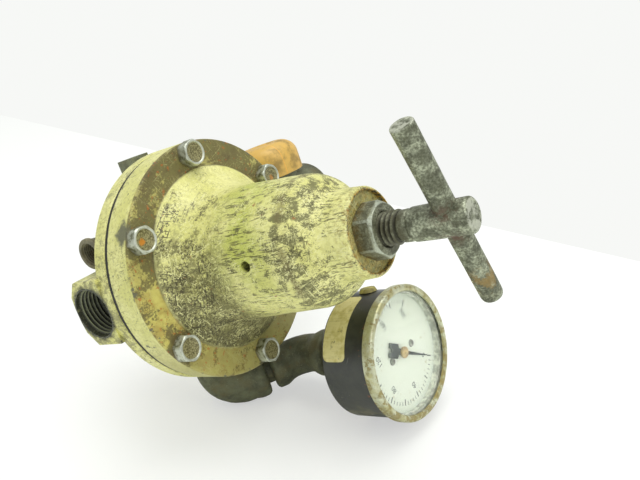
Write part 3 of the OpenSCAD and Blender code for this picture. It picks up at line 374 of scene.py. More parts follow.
def bonnet_stains_and_shade(f, ground, lines):
    """Stains of the bonnet: dirty flange face, hatched skirt, streaked tower, worn shoulder and nut recess; painted
    shade in the skirt's crease and inside the vent hole, and flange and skirt darker towards +Y.
    """
    # the darkest dirt colour, also used for the painted shade in the skirt's crease
    soot_and_shade = rgb(50, 46, 28)
    olive = rgb(88, 82, 44)
    brown = rgb(104, 84, 36)
    smoke = rgb(126, 124, 74)
    rust = rgb(164, 92, 30)
    on_face = f.times(f.step(f.r, SKIRT_R - 0.1, SKIRT_R + 0.3), f.step(f.z, -1.2, -0.5))
    by_bolt = f.step(f.add(bolt_distance(f), f.times(f.noise(3, 3, seed=61), 5)), 11.5, 7.5)
    low_side = f.times(f.step(f.y, -22, 6), f.step(f.x, 8, 30))

    face_ground = f.mix(f.step(f.noise(13, 4, seed=62), 0.38, 0.6), rgb(176, 168, 92), rgb(146, 138, 72))
    face_ground = f.mix(f.times(low_side, 0.9), face_ground,
                        f.mix(f.step(f.noise(5, 5, seed=63), 0.38, 0.62), rgb(196, 186, 94), rgb(166, 146, 66)))
    ground = f.mix(f.times(on_face, 0.92), ground, face_ground)
    face_lean = f.add(f.times(f.y, -0.0026), f.times(by_bolt, 0.1))
    face_dirt = f.times(f.ragged(10, 0.53, face_lean, 5, 0.05), on_face)
    face_brown = f.times(f.ragged(5, 0.6, f.times(by_bolt, 0.05), 64, 0.05), on_face)

    # skirt: rubbed-in dirt, thickest below the vent and towards the inlet, and painted shade in the crease where it
    # meets the flange face
    skirt = f.times(f.step(f.r, SKIRT_R + 0.3, SKIRT_R - 1.0), f.step(f.z, 30, 12))
    skirt_lean = f.add(f.times(f.x, 0.0032), f.times(f.y, 0.0042))
    skirt_dirt = f.times(f.ragged(8, 0.56, skirt_lean, 7, 0.05, distortion=0.3), skirt)
    skirt_haze = f.times(f.ragged(3, 0.56, skirt_lean, 71, 0.1), skirt)
    hatch = f.most(f.strokes((0, 0, 38), 14, 0.7, 0.54, 91), f.strokes((0, 24, 96), 11, 0.7, 0.56, 92))
    hatch = f.most(hatch, f.strokes((0, -30, 150), 12, 0.6, 0.58, 94))
    hatch_area = f.add(f.noise(9, 3, seed=93), f.add(f.times(f.x, 0.006), f.times(f.y, 0.003)))
    hatch = f.times(f.times(hatch, f.step(hatch_area, 0.52, 0.66)), skirt)
    base_ring = f.times(f.near(f.z, 15, 8), f.ragged(4, 0.6, f.times(f.y, 0.005), 72, 0.06))
    # painted shade: a dark line in the crease between the skirt and the flange face
    crease_shade = f.times(f.near(f.r, SKIRT_R, 0.7), f.step(f.z, 1.4, 0.6))
    crease_shade = f.times(crease_shade, f.step(f.noise(12, 3, seed=73), 0.38, 0.6))

    # tower: green tint in its middle, fine lengthwise streaks, blotches towards the shoulder
    tower = f.step(f.z, 16, 26)
    tint = f.times(f.times(f.near(f.z, 32, 22), f.step(f.noise(17, 3, seed=2), 0.3, 0.6)), f.step(f.y, 26, -8))
    ground = f.mix(f.times(tint, 0.85), ground, rgb(180, 188, 76))
    streak = f.strokes((0, 90, 0), 9, 0.8, 0.58, 11)
    streak = f.most(streak, f.strokes((0, 84, 12), 6, 0.6, 0.59, 13))
    streak = f.most(streak, f.strokes((0, 62, -20), 5, 0.6, 0.63, 21))
    streak = f.times(f.times(streak, f.step(f.noise(8, 4, stretch=(1, 1, 2), seed=12), 0.4, 0.56)), tower)
    blotch_lean = f.add(f.times(f.near(f.z, 54, 16), 0.12), f.times(f.step(f.z, 60, 68), -0.05))
    blotches = f.times(f.ragged(3.4, 0.6, blotch_lean, 14, 0.04, stretch=(1, 1, 1.4)), tower)
    wavy = f.add(f.z, f.times(f.noise(10, 3, seed=15), 9))
    shoulder = f.times(f.near(wavy, SHOULDER_Z + 5.5, 2.4), f.ragged(6, 0.46, 0.0, 16, 0.08))
    mouth = f.times(f.step(f.z, NECK_Z - 3, NECK_Z - 1.5),
                    f.step(f.add(f.r, f.times(f.noise(2, 4, seed=96), 1.6)), RECESS_R + 2.0, RECESS_R + 0.9))
    mouth_colour = f.mix(f.spots(1.6, 0.5, 5, 0.08, seed=17), rgb(164, 128, 40), rgb(58, 48, 24))
    neck_dust = f.times(f.step(f.z, NECK_Z - 9, NECK_Z), f.spots(2.0, 0.35, 5, 0.06, seed=18))

    # painted shade: dark inside the vent hole
    vent_shade = f.times(f.near(f.z, VENT_Z, 3.5), f.step(f.r, TOWER_BASE_R - 1.6, TOWER_BASE_R - 2.2))

    keep = f.inverse(f.times(lines, 0.8))
    # flange and skirt darker towards +Y, the side that lies lowest
    darker_low_side = f.times(f.step(f.add(f.y, f.times(f.noise(9, 4, seed=95), 24)), 22, 44), f.inverse(tower))
    dirt_colour = f.mix(f.step(f.noise(3.0, 4, seed=6), 0.4, 0.62), soot_and_shade, olive)
    face_colour = f.mix(f.step(f.noise(4.0, 4, seed=65), 0.4, 0.62), olive, rgb(84, 74, 42))
    colour = f.layers(
        ground,
        (rgb(150, 142, 82), f.times(darker_low_side, 0.6)),
        (brown, f.times(face_brown, 0.75)),
        (face_colour, f.times(f.times(face_dirt, f.inverse(f.times(lines, 0.3))), 0.8)),
        (smoke, f.times(f.times(skirt_haze, keep), 0.6)),
        (dirt_colour, f.times(f.times(f.most(skirt_dirt, base_ring), keep), 0.62)),
        (rgb(66, 60, 34), f.times(f.times(hatch, keep), 0.9)),
        (soot_and_shade, f.times(crease_shade, 0.6)),
        (f.mix(f.noise(5, 4, seed=19), rgb(70, 74, 38), rgb(94, 82, 44)), f.times(streak, 0.82)),
        (rgb(74, 72, 42), f.times(f.times(blotches, keep), 0.8)),
        (rgb(112, 102, 60), f.times(shoulder, 0.7)),
        (rgb(140, 118, 46), f.times(neck_dust, 0.5)),
        (mouth_colour, mouth),
        (rgb(42, 40, 24), vent_shade),
        (rust, f.times(f.times(f.spots(2.0, 0.14, 3, 0.02, seed=66), on_face), 0.7)),
    )
    worn = f.most(f.most(face_dirt, skirt_dirt), f.most(streak, blotches))
    return colour, f.most(worn, mouth)


def body_stains_and_shade(f, ground, lines):
    """Stains of the body: grimy underside, a rubbed rim round the inlet, and painted shade on the inlet's threads,
    darker in their roots and deeper in the bore.
    """
    smoke = rgb(124, 124, 96)
    olive = rgb(98, 92, 58)
    from_axis = f.distance(f.y, f.math("SUBTRACT", f.z, PORT_Z))
    inside = f.times(f.step(from_axis, PORT_R + 1.0, PORT_R + 0.5), f.step(f.x, 28, 30))
    rim = f.times(f.near(from_axis, PORT_R + 0.9, 1.6), f.step(f.x, PORT_REACH - 1.6, PORT_REACH - 0.5))
    rim = f.times(rim, f.step(f.noise(4, 4, seed=81), 0.34, 0.55))
    # painted shade in the inlet: thread roots darker than the crests, and darker still deeper in the bore
    port_thread_shade = f.mix(f.step(from_axis, PORT_R - 0.2, PORT_R - 0.55), rgb(52, 54, 40), rgb(124, 128, 96))
    port_thread_shade = f.mix(f.step(f.x, 44, 32), port_thread_shade, rgb(40, 42, 32))
    edge = f.times(f.ragged(3, 0.6, f.times(f.step(f.x, 44, 49), 0.08), 82, 0.03), f.step(f.x, 38, 44))
    haze = f.ragged(7, 0.6, f.times(f.step(f.z, -30, -56), 0.12), 83, 0.06)
    colour = f.layers(
        ground,
        (smoke, f.times(f.times(haze, f.inverse(lines)), 0.6)),
        (olive, f.times(edge, 0.6)),
        (rgb(58, 58, 44), f.times(rim, 0.85)),
        (port_thread_shade, inside),
    )
    return colour, f.most(haze, rim)


def cream_paint(name, stains):
    """Old cream paint, scratched, chipped on the flange's edges, with the stains and painted shade of its own
    casting.
    """
    f = Finish(name)
    ground = f.mix(f.step(f.noise(16, 3), 0.38, 0.62), rgb(228, 225, 152), rgb(212, 210, 126))
    fine = f.noise(1.3, 5, seed=4)
    ground = f.mix(f.times(f.step(fine, 0.4, 0.66), 0.45), ground, rgb(184, 179, 104))
    lines = f.times(hatching(f, 0), f.step(f.noise(7, 2, seed=8), 0.34, 0.6))
    dark_lines = f.times(hatching(f, 21, 0.65), f.step(f.noise(9, 2, seed=9), 0.44, 0.66))
    ground = f.mix(f.times(dark_lines, 0.65), ground, rgb(92, 86, 48))
    colour, worn = stains(f, ground, lines)
    line_share = f.range(f.step(f.r, SKIRT_R, SKIRT_R - 1), 0.12, 0.6)
    colour = f.mix(f.times(lines, line_share), colour, rgb(228, 226, 168))

    rim = f.step(f.r, FLANGE_R - 1.7, FLANGE_R - 0.9)
    on_side = f.times(rim, f.step(f.z, -0.6, -1.6))
    rubbed = f.times(on_side, f.strokes((0, 0, 0), 5, 0.9, 0.6, 45))
    front_edge = f.times(f.near(f.z, -0.4, 2.4), rim)
    chips = f.times(front_edge, f.spots(5.0, 0.24, 5, 0.02, seed=42))
    chips = f.most(chips, f.times(on_side, f.spots(4.0, 0.1, 5, 0.02, seed=41)))
    seam_edge = f.times(f.near(f.z, -BONNET_FLANGE_T + 0.2, 1.2), rim)
    chips = f.most(chips, f.times(seam_edge, f.spots(3.5, 0.42, 4, 0.03, seed=43)))
    from_chip = f.add(f.math("ABSOLUTE", f.add(f.y, 27)), f.math("ABSOLUTE", f.add(f.z, 3)))
    big_chip = f.times(f.times(f.step(f.x, 20, 34), rim), f.step(f.add(from_chip, f.times(fine, 6)), 9, 6))
    chips = f.most(chips, big_chip)
    specks = f.times(f.spots(2.2, 0.06, 3, 0.02, seed=44), f.spots(16, 0.45, 2, 0.05, seed=46))
    colour = f.layers(
        colour,
        (rgb(150, 148, 104), f.times(rubbed, 0.5)),
        (f.mix(fine, rgb(84, 84, 66), rgb(118, 118, 100)), f.times(chips, 0.9)),
        (rgb(150, 92, 44), f.times(specks, 0.8)),
    )
    height = f.add(f.times(f.noise(0.8, 4, seed=51), 0.5), f.times(f.noise(5, 3, seed=52), 0.8))
    height = f.math("SUBTRACT", height, f.times(f.most(lines, dark_lines), 0.3))
    height = f.math("SUBTRACT", height, f.times(chips, 0.7))
    f.bump(height, 0.13)
    rough = f.range(f.most(worn, f.times(fine, 0.5)), 0.4, 0.7)
    return f.use(colour, rough, f.times(chips, 0.4), Coat_Weight=0.08, Coat_Roughness=0.4)


def steel_ground(f, dark, light, size=0.5, cover=0.42, spread=0.15):
    """Dark oily steel with fine pale flecks gathered in clusters; gives the colour and the flecks."""
    ground = f.mix(f.step(f.noise(4, 4, seed=1), 0.35, 0.65), rgb(*dark), rgb(*[v * 1.25 for v in dark]))
    clusters = f.step(f.noise(4.5, 4, seed=2), 0.42, 0.62)
    grains = f.spots(size, cover, 6, 0.16, seed=3)
    flecks = f.times(f.add(f.times(grains, 0.75), 0.25), f.range(clusters, spread, 0.95))
    return f.mix(f.times(flecks, 0.8), ground, rgb(*light)), flecks


def worn_steel(name, axes=REGULATOR, dark=(74, 74, 60), light=(156, 160, 140), rust_cover=0.12):
    """Old bare steel: dark oily ground, fine pale flecks, a little rust."""
    f = Finish(name, axes)
    colour, flecks = steel_ground(f, dark, light)
    rusty = f.spots(6, rust_cover, 4, 0.06, seed=4)
    colour = f.mix(f.times(rusty, 0.7), colour, f.mix(f.noise(1.5, 3, seed=5), rgb(100, 66, 34), rgb(130, 98, 46)))
    f.bump(f.add(f.times(flecks, 0.4), f.noise(0.6, 4, seed=6)), 0.1)
    return f.use(colour, f.range(f.noise(2, 4, seed=7), 0.38, 0.66), f.range(f.inverse(rusty), 0.1, 0.45))


def nut_steel():
    """Lock nut: dark flanks and face, edges rubbed bright."""
    f = Finish("nut_steel")
    colour, flecks = steel_ground(f, (62, 60, 42), (186, 190, 160), 0.7, 0.45, 0.35)
    top = NECK_Z - RECESS_DEPTH + NUT_H
    angle = f.math("WRAP", f.math("SUBTRACT", f.math("ARCTAN2", f.y, f.x), NUT_TURN), math.pi / 6, -math.pi / 6)
    corner = f.step(f.math("ABSOLUTE", angle), math.radians(4.2), math.radians(1.6))
    outside = f.step(f.r, NUT_AF / 2 - 0.2, NUT_AF / 2 + 0.1)
    chamfer = f.times(f.step(f.z, top - 1.5, top - 0.9), f.step(f.r, NUT_AF / 2 - 0.5, NUT_AF / 2 - 0.1))
    edges = f.most(f.times(corner, outside), chamfer)
    edges = f.times(edges, f.range(f.step(f.noise(1.2, 4, seed=8), 0.34, 0.56), 0.35, 1.0))
    grease = f.times(f.step(f.z, top - 3.5, top - 7), f.step(f.noise(1.6, 4, seed=9), 0.36, 0.6))
    colour = f.layers(
        colour,
        (rgb(120, 94, 40), f.times(grease, 0.6)),
        (rgb(188, 194, 176), f.times(edges, 0.8)),
    )
    f.bump(f.add(flecks, f.noise(0.6, 4, seed=6)), 0.09)
    return f.use(colour, f.range(f.noise(2, 4, seed=7), 0.34, 0.6), f.range(edges, 0.25, 0.7))


def handle_steel():
    """Steel of the screw and its bar: oily threads with painted shade in their roots, rust where they cross, ochre
    rust near the bar's lower end.
    """
    f = Finish("handle_steel")
    colour, flecks = steel_ground(f, (58, 59, 42), (206, 212, 184), 0.8, 0.46, 0.26)
    along = f.add(f.times(f.x, math.cos(BAR_TURN)), f.times(f.y, math.sin(BAR_TURN)))
    threads = f.step(f.z, THREAD_TOP + 4.6, THREAD_TOP + 1.5)
    # painted shade in the thread's roots
    root_shade = f.times(f.step(f.r, SCREW_R - 0.35, SCREW_R - 0.9), f.step(f.z, THREAD_TOP + 0.5, THREAD_TOP))
    ends = f.most(f.step(along, BAR_LONG - 0.9, BAR_LONG - 0.4), f.step(f.z, SCREW_TOP - 0.5, SCREW_TOP - 0.1))
    crossing = f.times(f.near(f.math("ABSOLUTE", along), 5.0, 5.0), f.near(f.z, BAR_Z, 7.5))
    crossing = f.times(crossing, f.ragged(2.4, 0.48, 0.0, 4, 0.06))
    ochre = f.times(f.near(along, -26, 9), f.ragged(4, 0.52, 0.0, 5, 0.05))
    colour = f.layers(
        colour,
        (rgb(76, 72, 48), f.times(threads, 0.7)),
        (rgb(44, 42, 28), f.times(root_shade, 0.85)),
        (rgb(196, 198, 180), f.times(f.times(ends, f.spots(2.4, 0.55, 5, 0.08, seed=10)), 0.8)),
        (rgb(88, 58, 38), f.times(crossing, 0.8)),
        (f.mix(f.noise(1.5, 3, seed=6), rgb(156, 122, 46), rgb(116, 100, 54)), f.times(ochre, 0.75)),
    )
    f.bump(f.add(f.times(flecks, 0.4), f.noise(0.6, 4, seed=9)), 0.1)
    rusty = f.most(crossing, ochre)
    return f.use(colour, f.range(f.noise(2, 4, seed=7), 0.36, 0.62), f.range(f.inverse(rusty), 0.1, 0.45))


def cast_iron(name, axes=REGULATOR, base=(72, 74, 56), rusty=0.06, brown=(98, 90, 58)):
    """Malleable iron fitting: dark and rough, greasy brown patches, sparse pale nicks."""
    f = Finish(name, axes)
    ground = f.mix(f.step(f.noise(7, 5, seed=1), 0.35, 0.65), rgb(*base), rgb(*[v * 1.4 for v in base]))
    nicks = f.times(f.spots(0.6, 0.2, 3, 0.04, seed=2), f.spots(7, 0.5, 3, 0.1, seed=3))
    stains = f.spots(8, 0.36, 5, 0.12, seed=4)
    rust_spots = f.spots(3.5, rusty, 4, 0.04, seed=5)
    colour = f.layers(
        ground,
        (rgb(*brown), f.times(stains, 0.6)),
        (rgb(140, 140, 112), f.times(nicks, 0.6)),
        (rgb(124, 78, 42), f.times(rust_spots, 0.6)),
    )
    f.bump(f.add(f.noise(1.1, 5, seed=6), f.times(f.noise(0.45, 2, seed=7), 0.4)), 0.26)
    return f.use(colour, f.range(f.noise(3, 4, seed=8), 0.46, 0.74), 0.15)


def zinc_bolt():
    """Bolt heads: bright plated flanks and rims, dull speckled dished faces, rust blobs on two of them."""
    f = Finish("zinc_bolt")
    on_head = f.step(f.z, BOLT_HEAD_H - 0.75, BOLT_HEAD_H - 0.3)
    face = f.times(f.step(f.z, BOLT_HEAD_H - 1.2, BOLT_HEAD_H - 0.9), f.step(bolt_distance(f), 4.25, 3.95))
    speck = f.noise(0.6, 4, seed=1)
    plating = f.mix(f.step(f.noise(2.0, 4, seed=2), 0.42, 0.62), rgb(186, 190, 172), rgb(112, 114, 88))
    plating = f.mix(f.times(on_head, 0.6), plating, rgb(208, 212, 200))
    dull = f.mix(f.step(speck, 0.38, 0.62), rgb(84, 78, 44), rgb(150, 144, 100))
    grime = f.step(f.add(f.z, f.times(f.noise(2.4, 4, seed=3), 4.5)), 4.4, 1.8)

    def blob(turn, along, across, size):
        x = BOLT_CIRCLE_R * math.cos(turn) + along
        y = BOLT_CIRCLE_R * math.sin(turn) + across
        far = f.distance(f.math("SUBTRACT", f.x, x), f.math("SUBTRACT", f.y, y))
        return f.step(f.add(far, f.times(f.noise(1.6, 3, seed=5), 2.4)), size + 1.5, size + 0.6)

    rusty = f.most(blob(BOLT_START + math.radians(60), 1.9, 0.2, 1.4),
                   f.times(blob(BOLT_START + math.radians(300), 0.4, 0.8, 1.3), 0.6))
    rusty = f.times(rusty, face)
    colour = f.layers(
        plating,
        (f.mix(speck, rgb(70, 62, 36), rgb(116, 104, 62)), f.times(grime, 0.85)),
        (dull, face),
        (rgb(192, 122, 28), f.times(rusty, 0.9)),
    )
    f.bump(f.add(speck, f.times(face, -0.4)), 0.09)
    metal = f.range(f.inverse(f.most(grime, face)), 0.1, 0.6)
    return f.use(colour, f.range(speck, 0.3, 0.55), metal)


def brass(name, axes=REGULATOR):
    """Turned brass, dulled in patches, with fine turning marks."""
    f = Finish(name, axes)
    tarnish = f.step(f.noise(6, 4, seed=1), 0.4, 0.64)
    colour = f.mix(tarnish, rgb(196, 164, 96), rgb(128, 104, 60))
    f.bump(f.add(f.noise(0.5, 3, stretch=(8, 8, 1), seed=2), f.noise(1.2, 3, seed=3)), 0.05)
    return f.use(colour, f.range(tarnish, 0.26, 0.5), 0.85)


def black_enamel():
    """Gauge case: worn black enamel, olive stains low down, rust freckles towards the bezel."""
    f = Finish("black_enamel", GAUGE)
    haze = f.step(f.noise(9, 4, seed=1), 0.38, 0.66)
    colour = f.mix(haze, rgb(34, 36, 34), rgb(54, 56, 50))
    stains = f.times(f.step(f.noise(7, 4, stretch=(1, 1, 2), seed=2), 0.5, 0.64), f.step(f.y, 4, 20))
    freckles = f.times(f.spots(1.8, 0.16, 3, 0.03, seed=3), f.step(f.z, -9, -5.5))
    scuffs = f.scratches(2.5, 10, (0, 30, 70), 0.014, 5, 0.3)
    colour = f.layers(
        colour,
        (rgb(92, 88, 54), f.times(stains, 0.7)),
        (rgb(120, 122, 112), f.times(scuffs, 0.35)),
        (rgb(140, 74, 34), f.times(freckles, 0.85)),
    )
    f.bump(f.noise(1.3, 4, seed=6), 0.05)
    return f.use(colour, f.range(haze, 0.3, 0.5), 0.0, Coat_Weight=0.25, Coat_Roughness=0.25)


def bezel_metal():
    """Plated ring: pale, rubbed to yellow brass, with brown corrosion blooms."""
    f = Finish("bezel_metal", GAUGE)
    rub = f.step(f.noise(5, 4, seed=1), 0.38, 0.62)
    colour = f.mix(rub, rgb(202, 204, 176), rgb(178, 174, 130))
    low = f.times(f.step(f.y, -6, 18), 0.1)
    bloom = f.ragged(3.2, 0.58, low, 2, 0.04)
    pits = f.spots(0.9, 0.2, 3, 0.04, seed=3)
    colour = f.layers(
        colour,
        (f.mix(f.noise(1.5, 3, seed=4), rgb(160, 140, 66), rgb(112, 100, 54)), f.times(bloom, 0.8)),
        (rgb(88, 76, 50), f.times(pits, 0.5)),
    )
    f.bump(f.math("SUBTRACT", f.noise(1.0, 4, seed=5), f.times(bloom, 0.7)), 0.12)
    return f.use(colour, f.range(bloom, 0.28, 0.6), f.range(f.inverse(bloom), 0.15, 0.6))


def dial_enamel():
    """Pale dial, a little green, with faint brown foxing towards the edge and painted shade on its outer ring, under
    the bezel.
    """
    f = Finish("dial_enamel", GAUGE)
    foxing = f.times(f.spots(2.2, 0.14, 4, 0.03, seed=1), f.step(f.r, 9, 20))
    colour = f.layers(
        f.mix(f.noise(14, 2, seed=2), rgb(234, 240, 224), rgb(222, 230, 210)),
        (rgb(170, 160, 96), f.times(foxing, 0.6)),
        # painted shade: the dial greyer towards its edge, under the bezel
        (rgb(180, 190, 176), f.times(f.step(f.r, 22, 26), 0.5)),
    )
    f.bump(f.noise(2, 3, seed=3), 0.02)
    return f.use(colour, f.range(foxing, 0.42, 0.6))


def window_glass():
    """Slightly cloudy gauge window."""
    f = Finish("window_glass", GAUGE)
    haze = f.step(f.noise(7, 4, seed=1), 0.4, 0.7)
    f.bump(f.noise(14, 1, seed=2), 0.004)
    return f.use(f.mix(haze, rgb(248, 252, 248), rgb(236, 244, 236)), f.range(haze, 0.02, 0.06), 0.0,
                 Transmission_Weight=0.96, IOR=1.3, Alpha=0.1)


def orange_plastic():
    """Thin orange moulded plastic, dusty brown in patches, with a raised line painted brighter as a highlight."""
    f = Finish("orange_plastic")
    dust = f.step(f.noise(8, 5, seed=1), 0.46, 0.66)
    colour = f.mix(dust, rgb(210, 170, 84), rgb(156, 128, 66))
    # raised line across the cap, painted brighter as a highlight
    ridge_and_highlight = f.near(f.math("ABSOLUTE", f.math("SUBTRACT", f.x, TEE_X)), 6.0, 0.5)
    colour = f.mix(f.times(ridge_and_highlight, 0.6), colour, rgb(238, 178, 74))
    f.bump(f.add(f.noise(1.8, 4, seed=2), f.times(ridge_and_highlight, 0.6)), 0.1)
    return f.use(colour, f.range(dust, 0.38, 0.6))


def rubber(name, shade, axes=REGULATOR):
    """Matt rubber with a dusty bloom."""
    f = Finish(name, axes)
    bloom = f.step(f.noise(3, 4, seed=1), 0.42, 0.68)
    colour = f.mix(bloom, rgb(*shade), rgb(*[min(255, v * 1.5 + 12) for v in shade]))
    f.bump(f.noise(0.7, 4, seed=2), 0.06)
    return f.use(colour, f.range(bloom, 0.6, 0.85))


def sticker_film():
    """Blank cream film, smudged, with two dark thumb marks."""
    f = Finish("sticker_film", GAUGE)
    worn = f.step(f.noise(4, 4, seed=1), 0.42, 0.66)
    marks = f.times(f.spots(3.4, 0.2, 3, 0.03, seed=6), f.near(f.z, -19, 4.5))
    colour = f.layers(
        f.mix(worn, rgb(222, 212, 150), rgb(196, 184, 112)),
        (rgb(70, 62, 40), f.times(marks, 0.75)),
        (rgb(150, 140, 90), f.times(f.scratches(1.2, 12, (0, 90, 0), 0.03, 4, 0.5), 0.4)),
    )
    f.bump(f.noise(1.2, 3, seed=2), 0.03)
    return f.use(colour, f.range(worn, 0.4, 0.6))


def plain_metal(name, shade, metal=0.6, axes=REGULATOR):
    """Small inner part: plain metal with light mottling."""
    f = Finish(name, axes)
    cloud = f.step(f.noise(2.5, 4, seed=1), 0.35, 0.66)
    colour = f.mix(cloud, rgb(*shade), rgb(*[v * 0.72 for v in shade]))
    f.bump(f.noise(0.5, 3, seed=2), 0.03)
    return f.use(colour, f.range(cloud, 0.35, 0.6), metal)


def printed_grey():
    """Faint grey print on the dial."""
    f = Finish("printed_grey", GAUGE)
    fade = f.step(f.noise(5, 3, seed=1), 0.35, 0.65)
    f.bump(f.noise(1, 2, seed=2), 0.01)
    return f.use(f.mix(fade, rgb(58, 68, 62), rgb(112, 122, 110)), f.range(fade, 0.4, 0.6))


finishes = {
    "bonnet_paint": cream_paint("bonnet_paint", bonnet_stains_and_shade),
    "body_paint": cream_paint("body_paint", body_stains_and_shade),
    "zinc_bolt": zinc_bolt(),
    "handle_steel": handle_steel(),
    "nut_steel": nut_steel(),
    "inner_steel": worn_steel("inner_steel", dark=(84, 84, 76)),
    "cast_iron": cast_iron("cast_iron"),
    "plug_iron": cast_iron("plug_iron", base=(92, 94, 74), rusty=0.04, brown=(104, 98, 66)),
    "rusty_iron": cast_iron("rusty_iron", base=(104, 100, 80), rusty=0.1, brown=(92, 82, 54)),
    "brass": brass("brass"),
    "gauge_brass": brass("gauge_brass", GAUGE),
    "black_enamel": black_enamel(),
    "bezel_metal": bezel_metal(),
    "dial_enamel": dial_enamel(),
    "window_glass": window_glass(),
    "orange_plastic": orange_plastic(),
    "black_rubber": rubber("black_rubber", (34, 34, 31)),
    "fibre": rubber("fibre", (58, 54, 46)),
    "brown_rubber": rubber("brown_rubber", (120, 112, 60), GAUGE),
    "sticker_film": sticker_film(),
    "pointer_grey": plain_metal("pointer_grey", (62, 72, 68), 0.1, GAUGE),
    # pale grey made lighter as painted light, to offset the shade behind the bezel
    "ring_lightened_grey": plain_metal("ring_lightened_grey", (226, 230, 214), 0.0, GAUGE),
    "hub_brass": plain_metal("hub_brass", (204, 178, 124), 0.1, GAUGE),
    "plain_zinc": plain_metal("plain_zinc", (168, 170, 158)),
    "printed_grey": printed_grey(),
}

# ======== mesh helpers ========

def soften(points, bevel, steps=4):
    """Rounds each inner corner of an open line of (r, z) points by bevel, less where a side is short."""
    line = [Vector(p[:2]) for p in points]
    sizes = [p[2] if len(p) > 2 else bevel for p in points]
    out = [line[0]]
    for before, corner, after, size in zip(line, line[1:], line[2:], sizes[1:]):
        reach = min(size, (corner - before).length * 0.48, (after - corner).length * 0.48)
        if reach < 0.02:
            out.append(corner)
            continue
        start = corner + (before - corner).normalized() * reach
        end = corner + (after - corner).normalized() * reach
        for i in range(steps + 1):
            t = i / steps
            out.append(start * (1 - t) ** 2 + corner * 2 * t * (1 - t) + end * t * t)
    out.append(line[-1])
    return [tuple(p) for p in out]


def add_object(name, data):
    """Puts a new object with this data in the scene."""
    made = bpy.data.objects.new(name, data)
    bpy.context.scene.collection.objects.link(made)
    return made


def shade(mesh):
    """Smooth shading, broken only at true edges."""
    mesh.shade_smooth()
    mesh.set_sharp_from_angle(angle=SMOOTH_ANGLE)


def mesh_object(name, bm, material):
    """Turns a bmesh into a shaded object of one material, and frees it."""
    mesh = bpy.data.meshes.new(name)
    bm.to_mesh(mesh)
    bm.free()
    shade(mesh)
    mesh.materials.append(material)
    return add_object(name, mesh)


def plain_mesh(made):
    """The mesh that an object shows once its modifiers or its curve are worked out."""
    bpy.context.view_layer.update()
    return bpy.data.meshes.new_from_object(made.evaluated_get(bpy.context.evaluated_depsgraph_get()))


def dent(point, fineness, seed):
    """A smooth value from 0 to 1 for the dents of a worn surface."""
    return 0.5 + 0.5 * noise.noise(point * fineness + Vector((seed, seed, seed)))


def rings_mesh(rings, closed_along=False):
    """A mesh from rings of equally many points; a ring of one point closes an end."""
    bm = bmesh.new()
    made = [[bm.verts.new(p) for p in ring] for ring in rings]
    pairs = list(zip(made, made[1:]))
    if closed_along:
        pairs.append((made[-1], made[0]))
    for a, b in pairs:
        count = max(len(a), len(b))
        for i in range(count):
            j = (i + 1) % count
            if len(a) == 1:
                bm.faces.new((a[0], b[j], b[i]))
            elif len(b) == 1:
                bm.faces.new((a[i], a[j], b[0]))
            else:
                bm.faces.new((a[i], a[j], b[j], b[i]))
    bmesh.ops.recalc_face_normals(bm, faces=bm.faces)
    return bm


def lathe_mesh(profile, slices=128, closed=False, wobble=0.0, seed=0.0):
    """Turns a line of (r, z) points about Z; wobble dents the surface inwards by up to that much."""
    rings = []
    for r, z in profile:
        if r < 1e-6:
            rings.append([(0, 0, z)])
            continue
        ring = []
        for i in range(slices):
            a = 2 * math.pi * i / slices
            point = Vector((r * math.cos(a), r * math.sin(a), z))
            if wobble:
                depth = wobble * dent(point, 0.09, seed)
                point.x -= depth * math.cos(a)
                point.y -= depth * math.sin(a)
            ring.append(point)
        rings.append(ring)
    return rings_mesh(rings, closed)


def hex_mesh(across, height, bore, low_chamfer=0.0, high_chamfer=0.9, sink=0.0, sink_r=0.0, slices=120):
    """Hexagon nut or head with worn corners; its ends are turned to a cone of 30 degrees, and sink dishes a face."""
    flat_r = across / 2 * 0.985
    worn_corner = across / math.sqrt(3) - 0.28
    slope = math.tan(math.radians(30))
    inner = max(bore, 0.01)

    def ring(level):
        out = []
        for i in range(slices):
            a = 2 * math.pi * i / slices
            part = (a + math.pi / 6) % (math.pi / 3) - math.pi / 6
            r, z = level(min(across / 2 / math.cos(math.pi / 6 - abs(part)), worn_corner))
            out.append((r * math.cos(a), r * math.sin(a), z))
        return out

    levels = [
        lambda r: (inner, 0), lambda r: (flat_r, 0), lambda r: (r, low_chamfer * (r - flat_r) * slope),
        lambda r: (r, height - high_chamfer * (r - flat_r) * slope - 0.12),
        lambda r: (r - 0.12, height - high_chamfer * (r - flat_r) * slope), lambda r: (flat_r, height),
    ]
    if sink:
        levels += [lambda r: (sink_r + 0.3, height), lambda r: (sink_r, height - sink * 0.6),
                   lambda r: (sink_r - 0.3, height - sink), lambda r: (inner, height - sink)]
    else:
        levels += [lambda r: (inner + 0.5, height), lambda r: (inner, height - 0.4)]
    rings = [ring(level) for level in levels]
    return rings_mesh(rings, closed_along=True)


def sweep_mesh(places, slices=64, rough=0.0, seed=0.0):
    """Round skin along places, a list of (centre, direction, radius) in one plane whose normal is Y."""
    side = Vector((0, 1, 0))
    rings = []
    for centre, direction, radius in places:
        out = side.cross(direction).normalized()
        if radius < 1e-6:
            rings.append([centre])
            continue
        ring = []
        for i in range(slices):
            a = 2 * math.pi * i / slices
            ray = math.cos(a) * out + math.sin(a) * side
            point = centre + radius * ray
            if rough:
                point -= ray * rough * dent(point, 0.22, seed)
            ring.append(point)
        rings.append(ring)
    return rings_mesh(rings)


def place(made, axes):
    """Sets a mesh that was made in millimetres in the room."""
    made.data.transform(Matrix.Scale(MM, 4) @ axes)
    made.data.update()
    return made


def fit(made, body, slot, *replaced):
    """Hands a finished piece to the frame: what it moves with and the solids it stands for, which it hides; slot is
    not used.
    """
    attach(made, body)
    if replaced:
        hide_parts(*replaced)
    return made


